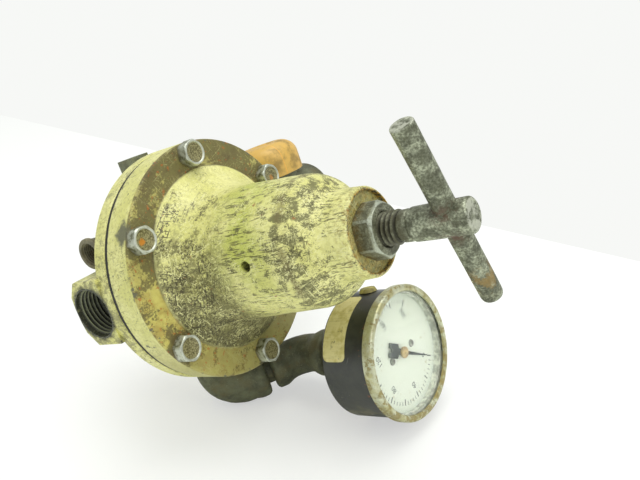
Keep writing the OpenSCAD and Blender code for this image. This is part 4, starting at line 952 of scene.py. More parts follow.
def lathe(name, profile, axes, finish, body, slot, *replaced, slices=128, closed=False, wobble=0.0, seed=0.0):
    """Turned piece: its profile is spun about Z, set in place and handed to the frame."""
    made = mesh_object(name, lathe_mesh(profile, slices, closed, wobble, seed), finishes[finish])
    return fit(place(made, axes), body, slot, *replaced)


# ======== node trees for what repeats ========

def node_tree(name, inputs):
    """A geometry tree with named inputs {label: (kind, value)} and one geometry output."""
    tree = bpy.data.node_groups.new(name, "GeometryNodeTree")
    tree.interface.new_socket("Geometry", in_out="OUTPUT", socket_type="NodeSocketGeometry")
    for label, (kind, _) in inputs.items():
        tree.interface.new_socket(label, in_out="INPUT", socket_type="NodeSocket" + kind)
    entry = tree.nodes.new("NodeGroupInput")
    leave = tree.nodes.new("NodeGroupOutput")
    return tree, entry.outputs, leave.inputs[0]


def add_node(tree, kind, settings=None, **sockets):
    """Adds a node; sockets are given by name, underscores for spaces, as values or as outputs to link."""
    made = tree.nodes.new(kind)
    for key, value in (settings or {}).items():
        setattr(made, key, value)
    for key, value in sockets.items():
        label = key.replace("_", " ")
        socket = next(s for s in made.inputs if s.name == label and s.enabled)
        if hasattr(value, "is_output"):
            tree.links.new(value, socket)
        else:
            socket.default_value = value
    return made


def sum_of(tree, operation, a, b):
    """Adds a Math node and gives its result."""
    made = tree.nodes.new("ShaderNodeMath")
    made.operation = operation
    for socket, value in zip(made.inputs, (a, b)):
        if hasattr(value, "is_output"):
            tree.links.new(value, socket)
        else:
            socket.default_value = value
    return made.outputs[0]


def end_tree(tree, geometry, given, result):
    """Ends a tree: its copies are made real and take their material."""
    whole = add_node(tree, "GeometryNodeRealizeInstances", Geometry=geometry)
    coated = add_node(tree, "GeometryNodeSetMaterial", Geometry=whole.outputs[0], Material=given["Finish"])
    tree.links.new(coated.outputs[0], result)


def grown(name, tree, inputs, axes):
    """Runs a tree with its inputs and returns the result as a plain mesh object in the room."""
    host = add_object(name + "_host", bpy.data.meshes.new(name + "_host"))
    modifier = host.modifiers.new(name, "NODES")
    modifier.node_group = tree
    for item in tree.interface.items_tree:
        if item.in_out == "INPUT":
            modifier[item.identifier] = inputs[item.name][1]
    mesh = plain_mesh(host)
    host.modifiers.remove(modifier)
    bpy.data.objects.remove(host)
    mesh.name = name
    shade(mesh)
    return place(add_object(name, mesh), axes)


def helix(name, radius, turns, rise, thickness, corners, steps, finish, axes):
    """Bar of this many corners wound up Z from the origin, with this many steps in a turn."""
    inputs = {
        "Radius": ("Float", radius), "Turns": ("Float", turns), "Rise": ("Float", rise),
        "Thickness": ("Float", thickness), "Finish": ("Material", finishes[finish]),
    }
    tree, given, result = node_tree("helix", inputs)
    line = add_node(tree, "GeometryNodeCurveSpiral", Resolution=steps, Rotations=given["Turns"],
                    Start_Radius=given["Radius"], End_Radius=given["Radius"], Height=given["Rise"])
    upright = add_node(tree, "GeometryNodeSetCurveNormal", {"mode": "Z_UP"}, Curve=line.outputs[0])
    profile = add_node(tree, "GeometryNodeCurvePrimitiveCircle", Resolution=corners, Radius=given["Thickness"])
    wound = add_node(tree, "GeometryNodeCurveToMesh", Curve=upright.outputs[0],
                     Profile_Curve=profile.outputs[0], Fill_Caps=True)
    end_tree(tree, wound.outputs[0], given, result)
    return grown(name, tree, inputs, axes)


def thread_ridge(name, radius, pitch, length, depth, finish, axes):
    """Helical ridge of a thread whose root line lies at radius; it runs up Z from the origin."""
    return helix(name, radius, length / pitch, length, depth, THREAD_CORNERS, THREAD_STEPS, finish, axes)


def bolt_ring(name, head, count, radius, axes):
    """Copies of one head on a circle, each turned by chance about its own axis."""
    inputs = {
        "Head": ("Object", head), "Count": ("Int", count), "Circle Radius": ("Float", radius),
        "Seed": ("Int", BOLT_TURN_SEED), "Finish": ("Material", finishes["zinc_bolt"]),
    }
    tree, given, result = node_tree("bolt_ring", inputs)
    circle = add_node(tree, "GeometryNodeMeshCircle", Vertices=given["Count"], Radius=given["Circle Radius"])
    shape = add_node(tree, "GeometryNodeObjectInfo", Object=given["Head"])
    turn = add_node(tree, "FunctionNodeRandomValue", {"data_type": "FLOAT"}, Min=0.0, Max=math.pi / 3,
                    Seed=given["Seed"])
    spin = add_node(tree, "ShaderNodeCombineXYZ", Z=turn.outputs[1])
    copies = add_node(tree, "GeometryNodeInstanceOnPoints", Points=circle.outputs[0],
                      Instance=shape.outputs["Geometry"], Rotation=spin.outputs[0])
    end_tree(tree, copies.outputs[0], given, result)
    return grown(name, tree, inputs, axes)


def dial_marks(name, count, radius, length, width, axes):
    """Bars across an arc of the dial, spread evenly from the zero mark clockwise."""
    inputs = {
        "Count": ("Int", count), "Radius": ("Float", radius), "Start": ("Float", ZERO_TURN),
        "Sweep": ("Float", DIAL_SWEEP), "Length": ("Float", length), "Width": ("Float", width),
        "Finish": ("Material", finishes["printed_grey"]),
    }
    tree, given, result = node_tree("dial_marks", inputs)
    index = add_node(tree, "GeometryNodeInputIndex").outputs[0]
    gaps = sum_of(tree, "SUBTRACT", given["Count"], 1.0)
    share = sum_of(tree, "DIVIDE", index, gaps)
    angle = sum_of(tree, "SUBTRACT", given["Start"], sum_of(tree, "MULTIPLY", share, given["Sweep"]))
    across = sum_of(tree, "MULTIPLY", given["Radius"], sum_of(tree, "COSINE", angle, 0.0))
    along = sum_of(tree, "MULTIPLY", given["Radius"], sum_of(tree, "SINE", angle, 0.0))
    spot = add_node(tree, "ShaderNodeCombineXYZ", X=across, Y=along)
    points = add_node(tree, "GeometryNodePoints", Count=given["Count"], Position=spot.outputs[0])
    size = add_node(tree, "ShaderNodeCombineXYZ", X=given["Length"], Y=given["Width"], Z=0.06)
    bar = add_node(tree, "GeometryNodeMeshCube", Size=size.outputs[0])
    turn = add_node(tree, "ShaderNodeCombineXYZ", Z=angle)
    copies = add_node(tree, "GeometryNodeInstanceOnPoints", Points=points.outputs[0],
                      Instance=bar.outputs[0], Rotation=turn.outputs[0])
    end_tree(tree, copies.outputs[0], given, result)
    return grown(name, tree, inputs, axes)


# ======== bonnet, bolts and screw ========

def make_bonnet():
    """Bonnet with its skirt's fillet, tower, dome, neck and nut recess, hollow inside, with the vent hole."""
    foot = 1.0
    fillet_steps = 24
    run = SKIRT_R - 0.7 - TOWER_BASE_R
    climb = SKIRT_Z - foot
    fillet = (run * run + climb * climb) / (2 * run)
    start = -math.acos((run - fillet) / fillet)
    skirt = []
    for i in range(fillet_steps + 1):
        a = start + (-math.pi - start) * i / fillet_steps
        skirt.append((TOWER_BASE_R + fillet + fillet * math.cos(a), SKIRT_Z + fillet * math.sin(a)))
    under = -BONNET_FLANGE_T
    outside = soften([
        (SPRING_BORE_R, under), (FLANGE_R, under, 1.0), (FLANGE_R, 0, 1.2), (SKIRT_R + 0.4, 0, 0.25),
        (SKIRT_R - 0.3, foot * 0.8, 0.3),
    ], 0.8, 5)
    tower = soften([
        skirt[-1], (TOWER_BASE_R - 0.5, SKIRT_Z + 10, 4), (TOWER_TOP_R, SHOULDER_Z, 2.5),
        (TOWER_TOP_R - 0.9, SHOULDER_Z + 3.6, 2.4), (TOWER_TOP_R - 3, SHOULDER_Z + 7.6, 2.4),
        (NECK_R + 2, SHOULDER_Z + 11, 2), (NECK_R + 0.4, SHOULDER_Z + 13, 2), (NECK_R, SHOULDER_Z + 16, 1.5),
        (NECK_R - 0.5, NECK_Z - 1, 0.5), (NECK_R - 1.1, NECK_Z - 0.3, 0.5), (NECK_R - 1.6, NECK_Z, 0.3),
        (RECESS_R, NECK_Z, 0.25), (RECESS_R, NECK_Z - RECESS_DEPTH, 0.3),
        (SCREW_R + 0.35, NECK_Z - RECESS_DEPTH, 0.3),
        (SCREW_R + 0.35, SHOULDER_Z + 4, 0.3), (SPRING_BORE_R, SHOULDER_Z + 4, 0.8),
    ], 0.5, 5)
    rings = [(r, z) for r, z in outside if r > SPRING_BORE_R + 0.01] + skirt + tower + [(SPRING_BORE_R, under)]
    made = mesh_object("bonnet_shell", lathe_mesh(rings, 256, closed=True), finishes["bonnet_paint"])
    reach = TOWER_BASE_R + 6
    cutter_bm = lathe_mesh([(0, 0), (VENT_R, 0), (VENT_R, reach), (0, reach)], 40)
    cutter = mesh_object("vent_cutter", cutter_bm, finishes["bonnet_paint"])
    direction = (math.cos(VENT_TURN), math.sin(VENT_TURN), 0)
    cutter.data.transform(axes_at(Matrix.Identity(4), (0, 0, VENT_Z), direction))
    cut = made.modifiers.new("vent", "BOOLEAN")
    cut.operation = "DIFFERENCE"
    cut.solver = "EXACT"
    cut.object = cutter
    mesh = plain_mesh(made)
    made.modifiers.remove(cut)
    made.data = mesh
    bpy.data.objects.remove(cutter)
    shade(mesh)
    fit(place(made, REGULATOR), "regulator", "cream_paint", "bonnet")


def make_bolts():
    """Ring of hexagon heads with dished faces."""
    bm = hex_mesh(BOLT_AF, BOLT_HEAD_H, 0.0, high_chamfer=1.6, sink=0.45, sink_r=4.2)
    head = mesh_object("bolt_head", bm, finishes["zinc_bolt"])
    start = REGULATOR @ Matrix.Rotation(BOLT_START, 4, "Z")
    ring = bolt_ring("bolt_heads", head, BOLT_COUNT, BOLT_CIRCLE_R, start)
    bpy.data.objects.remove(head)
    fit(ring, "regulator", "zinc_steel", "bonnet_bolts")


def make_screw():
    """Adjusting screw: threaded lower part, a turned collar and the plain shank with a domed end."""
    root = SCREW_R - 1.05
    profile = soften([
        (0, SCREW_LOW), (SCREW_R - 1.2, SCREW_LOW), (root, SCREW_LOW + 1.4), (root, THREAD_TOP, 0.3),
        (SCREW_R - 0.55, THREAD_TOP + 0.5, 0.3), (SCREW_R - 0.45, THREAD_TOP + 3.2, 0.4),
        (SCREW_R - 0.8, THREAD_TOP + 3.9, 0.2), (SCREW_R - 0.15, THREAD_TOP + 4.8, 0.5),
        (SCREW_R, BAR_Z - 6, 3), (SCREW_R, SCREW_TOP - 0.9, 0.5), (SCREW_R - 0.9, SCREW_TOP - 0.1, 0.4),
        (0, SCREW_TOP),
    ], 0.4, 5)
    lathe("screw_shank", profile, REGULATOR, "handle_steel", "screw", "dark_steel", "adjusting_screw",
          slices=96, wobble=0.12, seed=3)
    low = REGULATOR @ Matrix.Translation((0, 0, SCREW_LOW + 2.2))
    ridge = thread_ridge("screw_thread", root, SCREW_PITCH, THREAD_TOP - SCREW_LOW - 3.0, 1.0, "handle_steel", low)
    fit(ridge, "screw", "dark_steel")


def make_bar():
    """T-bar: round bar with hammered ends, a little bruised."""
    length = BAR_LONG + BAR_SHORT
    profile = soften([
        (0, 0.05), (BAR_R - 0.9, 0, 0.3), (BAR_R - 0.35, 0.4, 0.4), (BAR_R - 0.05, 1.6, 0.8), (BAR_R, 9, 2),
        (BAR_R, length - 4, 2), (BAR_R, length - 0.7, 0.2), (BAR_R - 0.3, length - 0.3, 0.15), (0, length - 0.2),
    ], 0.4, 5)
    along = Vector((math.cos(BAR_TURN), math.sin(BAR_TURN), 0))
    axes = axes_at(REGULATOR, Vector((0, 0, BAR_Z)) - BAR_SHORT * along, along)
    dense = []
    for a, b in zip(profile, profile[1:]):
        steps = max(1, int((Vector(b) - Vector(a)).length / 1.5))
        for i in range(steps):
            dense.append((a[0] + (b[0] - a[0]) * i / steps, a[1] + (b[1] - a[1]) * i / steps))
    dense.append(profile[-1])
    lathe("handle_bar_round", dense, axes, "handle_steel", "screw", "dark_steel", "handle_bar",
          slices=64, wobble=0.2, seed=9)


def make_nut():
    """Lock nut, half sunk in the neck's recess."""
    bm = hex_mesh(NUT_AF, NUT_H, SCREW_R + 0.1, low_chamfer=1.0, high_chamfer=1.5)
    axes = REGULATOR @ Matrix.Translation((0, 0, NECK_Z - RECESS_DEPTH)) @ Matrix.Rotation(NUT_TURN, 4, "Z")
    made = place(mesh_object("lock_nut_hex", bm, finishes["nut_steel"]), axes)
    fit(made, "lock_nut", "dark_steel", "lock_nut")


def make_spring(name, node, sizes):
    """Coiled spring between the housing and the part its far end rests on, in place of its solid."""
    radius, wire, low, high, turns = sizes
    axes = REGULATOR @ Matrix.Translation((0, 0, low + wire))
    made = helix(name, radius, turns, high - low - 2 * wire, wire, COIL_CORNERS, COIL_STEPS, "inner_steel", axes)
    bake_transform(made)
    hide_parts(node)


# ======== fittings ========

def make_gauge_elbow():
    """Street elbow under the flange: thread, round bend, collar."""
    turn_axes = (REGULATOR @ Matrix.Translation(ELBOW_PLACE) @ Matrix.Rotation(-(math.pi / 2 + LEG_TURN), 4, "Y")
                 @ Matrix.Rotation(math.radians(-90), 4, "X"))
    bend = ELBOW_R + 0.5
    up = Vector((0, 0, 1))
    drop = ELBOW_REACH - SIDE_REACH
    places = [(Vector((0, 0, -drop - 9.5)), up, 0)]
    for z, radius in ((-drop - 9.5, PIPE_BORE_R), (-drop - 9.5, PIPE_TAIL_R - 0.6), (-drop - 8.5, PIPE_TAIL_R),
                      (-drop + 1.2, PIPE_TAIL_R), (-drop + 1.4, ELBOW_R - 2.4), (-drop + 3.2, ELBOW_R - 0.6),
                      (-drop + 6, ELBOW_R)):
        places.append((Vector((0, 0, z)), up, radius))
    for i in range(17):
        a = math.pi / 2 * i / 16
        centre = Vector((bend - bend * math.cos(a), 0, -bend + bend * math.sin(a)))
        direction = Vector((math.sin(a), 0, math.cos(a)))
        places.append((centre, direction, ELBOW_R + 0.5 * math.sin(a * 2)))
    side = Vector((1, 0, 0))
    for x, radius in ((ELBOW_END - 7.6, ELBOW_R + 0.15), (ELBOW_END - 6.6, ELBOW_R + 0.45),
                      (ELBOW_END - 5.4, ELBOW_BAND_R - 0.2), (ELBOW_END - 4, ELBOW_BAND_R),
                      (ELBOW_END - 2.2, ELBOW_BAND_R - 0.1), (ELBOW_END - 1.0, ELBOW_BAND_R - 0.6),
                      (ELBOW_END - 0.3, ELBOW_BAND_R - 1.4), (ELBOW_END, ELBOW_BAND_R - 2.6),
                      (ELBOW_END, PIPE_TAIL_R + 0.1), (ELBOW_END - 9, PIPE_TAIL_R + 0.1),
                      (ELBOW_END - 9, PIPE_BORE_R), (0, PIPE_BORE_R)):
        places.append((Vector((x, 0, 0)), side, radius))
    places.append((Vector((0, 0, 0)), side, 0))
    bm = sweep_mesh(places, 72, rough=0.35, seed=2)
    made = place(mesh_object("gauge_elbow_cast", bm, finishes["cast_iron"]), turn_axes)
    fit(made, "regulator", "black_iron", "gauge_elbow")


def arc_places(radius, turn, start, girth, steps=12):
    """Places round a bend of this radius that starts at start on the Z axis and turns towards X."""
    out = []
    for i in range(steps + 1):
        a = turn * i / steps
        centre = Vector((radius - radius * math.cos(a), 0, start + radius * math.sin(a)))
        out.append((centre, Vector((math.sin(a), 0, math.cos(a))), girth(a)))
    return out


def make_gauge_bend():
    """Slack pipe bend behind the gauge, a little over 50 degrees, with a rounded band at either end."""
    turn = LEG_TURN + GAUGE_YAW
    reach = BEND_TURN_R * math.tan(turn / 2)
    ahead = Vector((math.sin(turn), 0, math.cos(turn)))
    up = Vector((0, 0, 1))
    ends = ((BEND_END, 0), (BEND_END, BEND_BAND_R - 2.0), (BEND_END - 0.4, BEND_BAND_R - 0.9),
            (BEND_END - 1.4, BEND_BAND_R - 0.1), (BEND_END - 3, BEND_BAND_R), (BEND_END - 5.2, BEND_BAND_R - 0.1),
            (BEND_END - 6.8, BEND_BAND_R - 0.7), (BEND_END - 8.6, BEND_R + 0.35), (BEND_END - 10.5, BEND_R))
    places = [(-s * up, up, radius) for s, radius in ends]
    places += arc_places(BEND_TURN_R, turn, -reach, lambda a: BEND_R)
    places += [(s * ahead, ahead, radius) for s, radius in reversed(ends)]
    axes = REGULATOR @ Matrix.Translation(BEND_PLACE) @ Matrix.Rotation(-LEG_TURN, 4, "Y")
    made = mesh_object("gauge_bend_cast", sweep_mesh(places, 64, 0.3, 5), finishes["cast_iron"])
    fit(place(made, axes), "regulator", "black_iron", "gauge_bend")


def make_small_elbow():
    """Small street elbow beside the inlet, its open end towards the inlet side."""
    axes = (REGULATOR @ Matrix.Translation(SMALL_PLACE)
            @ Matrix(((1, 0, 0, 0), (0, 0, -1, 0), (0, 1, 0, 0), (0, 0, 0, 1))))
    up = Vector((0, 0, 1))
    side = Vector((1, 0, 0))
    tail = SMALL_PORT_R - 0.5
    places = [(-9 * up, up, 0), (-9 * up, up, tail), (-6.2 * up, up, tail)]
    places += arc_places(SMALL_R + 0.1, math.pi / 2, -SMALL_R - 0.1,
                         lambda a: tail + (SMALL_R - tail) * min(1.0, a / 0.4) ** 0.7, 16)
    for x, radius in ((6.1, SMALL_R + 0.2), (6.5, 6.4), (7.0, 6.6), (8.0, 6.6), (8.4, 6.3), (SMALL_LEN, 5.9),
                      (SMALL_LEN, 4.9), (8.1, SMALL_PORT_R), (2.6, SMALL_PORT_R), (2.6, 0)):
        places.append((x * side, side, radius))
    made = mesh_object("small_elbow_cast", sweep_mesh(places, 56, 0.15, 7), finishes["rusty_iron"])
    fit(place(made, axes), "regulator", "rusty_iron", "small_elbow")


def make_outlet_tee():
    """Pipe tee on the outlet: bored run and branch, each end with a rounded band."""
    half = [(TEE_BARREL_R, 0), (TEE_BARREL_R, TEE_HALF - 11), (TEE_BAND_R - 0.6, TEE_HALF - 8.6, 1),
            (TEE_BAND_R, TEE_HALF - 7, 1), (TEE_BAND_R, TEE_HALF - 0.7, 0.6), (TEE_BAND_R - 0.9, TEE_HALF, 0.4),
            (PORT_R + 0.9, TEE_HALF, 0.2), (PORT_R, TEE_HALF - 1, 0.2), (PORT_R, TEE_HALF - 14, 0.2)]
    line = soften([(r, -z) + tuple(rest) for r, z, *rest in reversed(half)] + half[1:], 0.5, 4)
    run_axes = axes_at(REGULATOR, (TEE_X, 0, PORT_Z), (1, 0, 0))
    lathe("outlet_tee_run", line, run_axes, "cast_iron", "regulator", "black_iron", "outlet_tee",
          slices=96, closed=True, wobble=0.25, seed=11)
    branch = soften([
        (0, 8), (TEE_BARREL_R, 8, 0.3), (TEE_BARREL_R, TEE_BRANCH - 11), (TEE_BAND_R - 0.6, TEE_BRANCH - 8.6, 1),
        (TEE_BAND_R, TEE_BRANCH - 7, 1), (TEE_BAND_R, TEE_BRANCH - 0.7, 0.6), (TEE_BAND_R - 0.9, TEE_BRANCH, 0.4),
        (PORT_R, TEE_BRANCH, 0.2), (PORT_R, TEE_BRANCH - 14, 0.2), (0, TEE_BRANCH - 14),
    ], 0.5, 4)
    lathe("outlet_tee_branch", branch, axes_at(REGULATOR, (TEE_X, 0, PORT_Z), (0, -1, 0)), "cast_iron",
          "regulator", "black_iron", slices=96, wobble=0.25, seed=12)


def make_thread_cap():
    """Domed plastic cap pushed over the tee's branch, with a rolled skirt and a slightly sunken crown."""
    top = TEE_BRANCH + CAP_TOP
    low = TEE_BRANCH - CAP_SKIRT
    profile = soften([
        (0, TEE_BRANCH + 0.1), (CAP_R - 1.9, TEE_BRANCH + 0.1, 0.6), (CAP_R - 1.3, TEE_BRANCH - 1, 0.6),
        (CAP_R - 1.3, low + 0.3, 0.2), (CAP_R - 0.9, low, 0.2), (CAP_R - 0.2, low + 0.1, 0.3), (CAP_R, low + 1, 0.4),
    ], 0.3, 4)
    for i in range(13):
        a = math.pi / 2 * i / 12
        profile.append((CAP_R - CAP_DOME_R + CAP_DOME_R * math.cos(a), top - CAP_DOME_R + CAP_DOME_R * math.sin(a)))
    profile += [(CAP_R - 10.4, top - 0.1), (CAP_R - 11.6, top - 0.7), (0, top - 0.8)]
    lathe("thread_cap_dome", profile, axes_at(REGULATOR, (TEE_X, 0, PORT_Z), (0, -1, 0)), "orange_plastic",
          "thread_cap", "orange_plastic", "thread_cap", slices=96, wobble=0.3, seed=13)


make_bonnet()
make_bolts()
make_screw()
make_bar()
make_nut()
make_spring("range_spring_coil", "range_spring", RANGE_SPRING)
make_spring("valve_spring_coil", "valve_spring", VALVE_SPRING)
make_gauge_elbow()
make_gauge_bend()
make_small_elbow()
make_outlet_tee()
make_thread_cap()

# threads in the open ports and on the small elbow's tail
inlet_axes = axes_at(REGULATOR, (PORT_REACH - PORT_DEPTH + 1, 0, PORT_Z), (1, 0, 0))
fit(thread_ridge("inlet_thread", PORT_R + 0.25, PIPE_PITCH, PORT_DEPTH - 2.4, 0.95, "body_paint", inlet_axes),
    "regulator", "cream_paint")
outlet_axes = axes_at(REGULATOR, (TEE_X - TEE_HALF + 13, 0, PORT_Z), (-1, 0, 0))
fit(thread_ridge("outlet_thread", PORT_R + 0.25, PIPE_PITCH, 11.4, 0.95, "cast_iron", outlet_axes),
    "regulator", "black_iron")
small_axes = axes_at(REGULATOR, SMALL_PLACE + Vector((SMALL_LEN - 5.4, 0, 0)), (1, 0, 0))
fit(thread_ridge("small_port_thread", SMALL_PORT_R + 0.15, SMALL_PITCH, 4.6, 0.5, "rusty_iron", small_axes),
    "regulator", "rusty_iron")
tail_axes = axes_at(REGULATOR, (SMALL_PLACE.x, -BOSS_HALF_W + 0.3, SMALL_PLACE.z), (0, -1, 0))
fit(thread_ridge("small_tail_thread", SMALL_PORT_R - 0.6, SMALL_PITCH, 2.8, 0.45, "rusty_iron", tail_axes),
    "regulator", "rusty_iron")

# ======== gauge ========

dial_axes = GAUGE @ Matrix.Translation((0, 0, DIAL_FRONT + 0.05))
fit(dial_marks("dial_minor_marks", MINOR_MARKS, 21.6, 1.5, 0.26, dial_axes), "regulator", "dial_white")
fit(dial_marks("dial_major_marks", MAJOR_MARKS, 21.1, 2.6, 0.55, dial_axes), "regulator", "dial_white")


def make_numerals():
    """Plain numbers 0 to 200 inside the marks."""
    parts = bmesh.new()
    for i in range(NUMERALS):
        curve = bpy.data.curves.new("numeral", "FONT")
        curve.body = str(NUMERAL_STEP * i)
        curve.size = NUMERAL_SIZE
        curve.align_x = "CENTER"
        curve.align_y = "CENTER"
        curve.extrude = 0.03
        text = add_object("numeral", curve)
        flat = plain_mesh(text)
        bpy.data.objects.remove(text)
        a = ZERO_TURN - DIAL_SWEEP * i / (NUMERALS - 1)
        flat.transform(Matrix.Translation((NUMERAL_R * math.cos(a), NUMERAL_R * math.sin(a), 0))
                       @ Matrix.Rotation(ZERO_TURN - UPRIGHT_ZERO, 4, "Z"))
        parts.from_mesh(flat)
    bmesh.ops.remove_doubles(parts, verts=parts.verts, dist=1e-5)
    made = mesh_object("dial_numerals", parts, finishes["printed_grey"])
    fit(place(made, dial_axes), "regulator", "dial_white")


def make_pointer():
    """Flat pointer with a blocky, notched counterweight; its hub is a separate turned cap."""
    outline = ((POINTER_LEN, -0.16), (POINTER_LEN, 0.16), (1.5, 0.85), (-3.6, 1.5), (-4.2, 3.1), (-10.4, 3.1),
               (-10.4, 1.1), (-9.0, 0.8), (-9.0, -0.8), (-10.4, -1.1), (-10.4, -3.1), (-4.2, -3.1), (-3.6, -1.5),
               (1.5, -0.85))
    bm = bmesh.new()
    low = [bm.verts.new((x, y, 0)) for x, y in outline]
    high = [bm.verts.new((x, y, 0.4)) for x, y in outline]
    bm.faces.new(low)
    bm.faces.new(high)
    for i in range(len(outline)):
        j = (i + 1) % len(outline)
        bm.faces.new((low[i], low[j], high[j], high[i]))
    bmesh.ops.triangulate(bm, faces=bm.faces)
    bmesh.ops.recalc_face_normals(bm, faces=bm.faces)
    axes = GAUGE @ Matrix.Rotation(ZERO_TURN, 4, "Z") @ Matrix.Translation((0, 0, DIAL_FRONT + 0.7))
    made = place(mesh_object("pointer_blade", bm, finishes["pointer_grey"]), axes)
    fit(made, "pointer", "pointer_paint", "gauge_pointer")
    hub = soften([
        (0, 0.35), (2.5, 0.35), (2.5, 1.2, 0.3), (1.9, 1.45, 0.3), (0.8, 1.5, 0.2), (0.6, 1.7), (0, 1.75),
    ], 0.1, 3)
    lathe("pointer_hub", hub, axes, "hub_brass", "pointer", "brass", slices=40)


def make_bezel():
    """Rolled bezel ring with a rounded front edge and small dents."""
    rim = [(LIP_R + 0.06, -4.55), (BEZEL_R - 0.3, -4.55), (BEZEL_R - 0.05, -4.2)]
    for i in range(9):
        a = math.pi / 2 * i / 8
        rim.append((BEZEL_R - 1.4 + 1.4 * math.cos(a), -1.45 + 1.4 * math.sin(a)))
    rim += [(BEZEL_R - 2.2, -0.05), (BEZEL_R - 2.7, -0.3), (BEZEL_R - BEZEL_RIM, -0.9), (BEZEL_R - BEZEL_RIM, -1.15),
            (LIP_R + 0.06, -1.15)]
    lathe("gauge_bezel_ring", rim, GAUGE, "bezel_metal", "regulator", "bezel_metal", "gauge_bezel",
          slices=160, closed=True, wobble=0.12, seed=4)


def make_sticker():
    """Blank film with rounded corners on the case's side."""
    rows = 13
    columns = 24
    outer, inner = CASE_R + 0.14, CASE_R + 0.03
    rings = []
    for row in range(rows):
        z = STICKER_LOW + (STICKER_HIGH - STICKER_LOW) * (0.5 - 0.5 * math.cos(math.pi * row / (rows - 1)))
        near_edge = min(z - STICKER_LOW, STICKER_HIGH - z)
        pull = 0.0
        if near_edge < STICKER_CORNER:
            pull = STICKER_CORNER - math.sqrt(max(0.0, STICKER_CORNER ** 2 - (STICKER_CORNER - near_edge) ** 2))
        a, b = STICKER_START + pull / CASE_R, STICKER_END - pull / CASE_R
        turns = [a + (b - a) * i / columns for i in range(columns + 1)]
        ring = [(outer * math.cos(t), outer * math.sin(t), z) for t in turns]
        rings.append(ring + [(inner * math.cos(t), inner * math.sin(t), z) for t in reversed(turns)])
    bm = rings_mesh(rings)
    bmesh.ops.holes_fill(bm, edges=bm.edges, sides=0)
    bmesh.ops.recalc_face_normals(bm, faces=bm.faces)
    made = place(mesh_object("case_sticker_film", bm, finishes["sticker_film"]), GAUGE)
    fit(made, "regulator", "sticker_film", "case_sticker")


make_numerals()
make_pointer()
make_bezel()
make_sticker()

# ======== finishes of the solids that are kept ========

KEPT = {
    "body": "body_paint", "diaphragm": "black_rubber", "diaphragm_plate": "inner_steel",
    "diaphragm_stud": "brass", "stud_nut": "plain_zinc", "spring_button": "inner_steel", "valve_seat": "brass",
    "valve_plug": "brass", "valve_disc": "black_rubber", "bottom_cap": "brass", "cap_gasket": "fibre",
    "port_plug": "plug_iron", "outlet_nipple": "cast_iron", "gauge_nipple": "cast_iron",
    "gauge_socket": "gauge_brass", "gauge_case": "black_enamel", "case_screws": "plain_zinc",
    # lens gasket and spacer ring take the grey made lighter as painted light against the shade behind the bezel
    "gauge_lens": "window_glass", "lens_gasket": "ring_lightened_grey", "spacer_ring": "ring_lightened_grey",
    "gauge_dial": "dial_enamel", "dial_screws": "plain_zinc", "pinion_arbor": "hub_brass",
    "sector_gear": "gauge_brass", "movement_plates": "gauge_brass", "bourdon_tube": "gauge_brass",
    "tube_link": "plain_zinc", "relief_plug": "brown_rubber",
}
for node_name, finish in KEPT.items():
    data = nodes[node_name].data
    data.materials.clear()
    data.materials.append(finishes[finish])

# ======== studio ========

CAMERA_PLACE = Vector((194.915, -57.166, 208.803))
CAMERA_AHEAD = Vector((-0.75655, 0.22182, -0.61516))
CAMERA_DOWN = Vector((0.37452, 0.91812, -0.12954))
SENSOR_WIDTH = 36
LENS = 38.576
LAMP_AIM = Vector((0, 0, 0.05))
FLOOR_CORNERS = ((-5.5, 1.394), (1.2, -0.037), (1.2, -1.6), (-5.5, -1.6))
FLOOR_COLOUR = (0.96, 0.975, 0.94, 1)
FLOOR_GLOW = 0.5
LIGHT_COLOUR = (0.97, 1.0, 0.97, 1)
LIGHT_STRENGTH = 0.66
SKY_COLOUR = (0.93, 0.94, 0.92, 1)


def make_camera():
    """Camera, placed in the regulator's own axes."""
    data = bpy.data.cameras.new("camera")
    data.sensor_width = SENSOR_WIDTH
    data.lens = LENS
    data.clip_start = 0.01
    made = add_object("camera", data)
    right = CAMERA_DOWN.cross(CAMERA_AHEAD)
    turn = Matrix((right, -CAMERA_DOWN, -CAMERA_AHEAD)).transposed().to_4x4()
    in_room = REGULATOR @ Matrix.Translation(CAMERA_PLACE) @ turn
    place_m = in_room.to_translation() * MM
    made.matrix_world = Matrix.Translation(place_m) @ in_room.to_quaternion().to_matrix().to_4x4()
    bpy.context.scene.camera = made


def make_lamp(name, place_m, size, power):
    """Round soft lamp, in metres and watts, aimed at the object."""
    data = bpy.data.lights.new(name, "AREA")
    data.shape = "DISK"
    data.size = size
    data.energy = power
    made = add_object(name, data)
    aim = LAMP_AIM - Vector(place_m)
    made.matrix_world = Matrix.Translation(place_m) @ aim.to_track_quat("-Z", "Y").to_matrix().to_4x4()


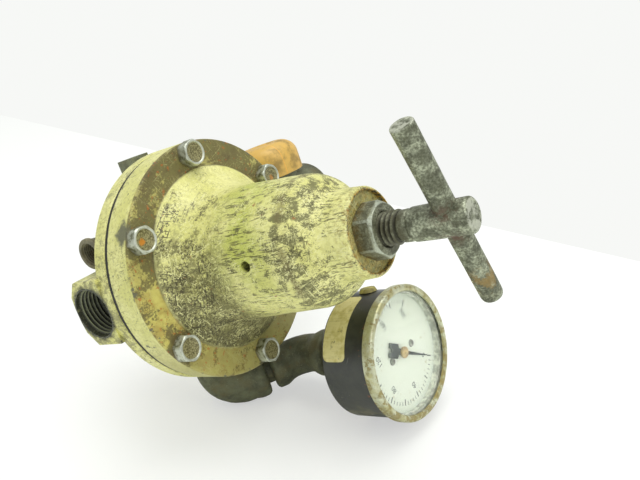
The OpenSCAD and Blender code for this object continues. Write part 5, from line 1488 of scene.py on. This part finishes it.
def make_floor():
    """Pale sheet whose far edge shows as a soft line behind the object."""
    bm = bmesh.new()
    bm.faces.new([bm.verts.new((x, y, 0)) for x, y in FLOOR_CORNERS])
    bmesh.ops.recalc_face_normals(bm, faces=bm.faces)
    if bm.faces[:][0].normal.z < 0:
        bmesh.ops.reverse_faces(bm, faces=bm.faces)
    mesh = bpy.data.meshes.new("floor")
    bm.to_mesh(mesh)
    bm.free()
    made = add_object("floor", mesh)
    material = bpy.data.materials.new("floor_white")
    material.use_nodes = True
    tree = material.node_tree
    tree.nodes.clear()
    sheet = tree.nodes.new("ShaderNodeBsdfDiffuse")
    sheet.inputs["Color"].default_value = FLOOR_COLOUR
    glow = tree.nodes.new("ShaderNodeEmission")
    glow.inputs["Color"].default_value = (1, 1, 1, 1)
    path = tree.nodes.new("ShaderNodeLightPath")
    share = tree.nodes.new("ShaderNodeMath")
    share.operation = "MULTIPLY"
    share.inputs[1].default_value = FLOOR_GLOW
    both = tree.nodes.new("ShaderNodeMixShader")
    out = tree.nodes.new("ShaderNodeOutputMaterial")
    tree.links.new(path.outputs["Is Camera Ray"], share.inputs[0])
    tree.links.new(share.outputs[0], both.inputs[0])
    tree.links.new(sheet.outputs[0], both.inputs[1])
    tree.links.new(glow.outputs[0], both.inputs[2])
    tree.links.new(both.outputs[0], out.inputs[0])
    mesh.materials.append(material)


def make_world():
    """Even grey light on the object, and a near-white sky where the camera looks past it or through glass."""
    world = bpy.data.worlds.new("studio")
    bpy.context.scene.world = world
    world.use_nodes = True
    tree = world.node_tree
    tree.nodes.clear()
    path = tree.nodes.new("ShaderNodeLightPath")
    seen = tree.nodes.new("ShaderNodeMath")
    seen.operation = "MAXIMUM"
    tree.links.new(path.outputs["Is Camera Ray"], seen.inputs[0])
    tree.links.new(path.outputs["Is Transmission Ray"], seen.inputs[1])
    light = tree.nodes.new("ShaderNodeBackground")
    light.inputs["Color"].default_value = LIGHT_COLOUR
    light.inputs["Strength"].default_value = LIGHT_STRENGTH
    sky = tree.nodes.new("ShaderNodeBackground")
    sky.inputs["Color"].default_value = SKY_COLOUR
    sky.inputs["Strength"].default_value = 1.0
    choice = tree.nodes.new("ShaderNodeMixShader")
    tree.links.new(seen.outputs[0], choice.inputs[0])
    tree.links.new(light.outputs[0], choice.inputs[1])
    tree.links.new(sky.outputs[0], choice.inputs[2])
    out = tree.nodes.new("ShaderNodeOutputWorld")
    tree.links.new(choice.outputs[0], out.inputs[0])


make_camera()
make_lamp("key_lamp", (0.1, 0.1, 1.5), 1.3, 13)
make_lamp("side_lamp", (1.0, -0.1, 0.8), 0.9, 4)
make_floor()
make_world()
bpy.context.scene.view_settings.view_transform = "Standard"
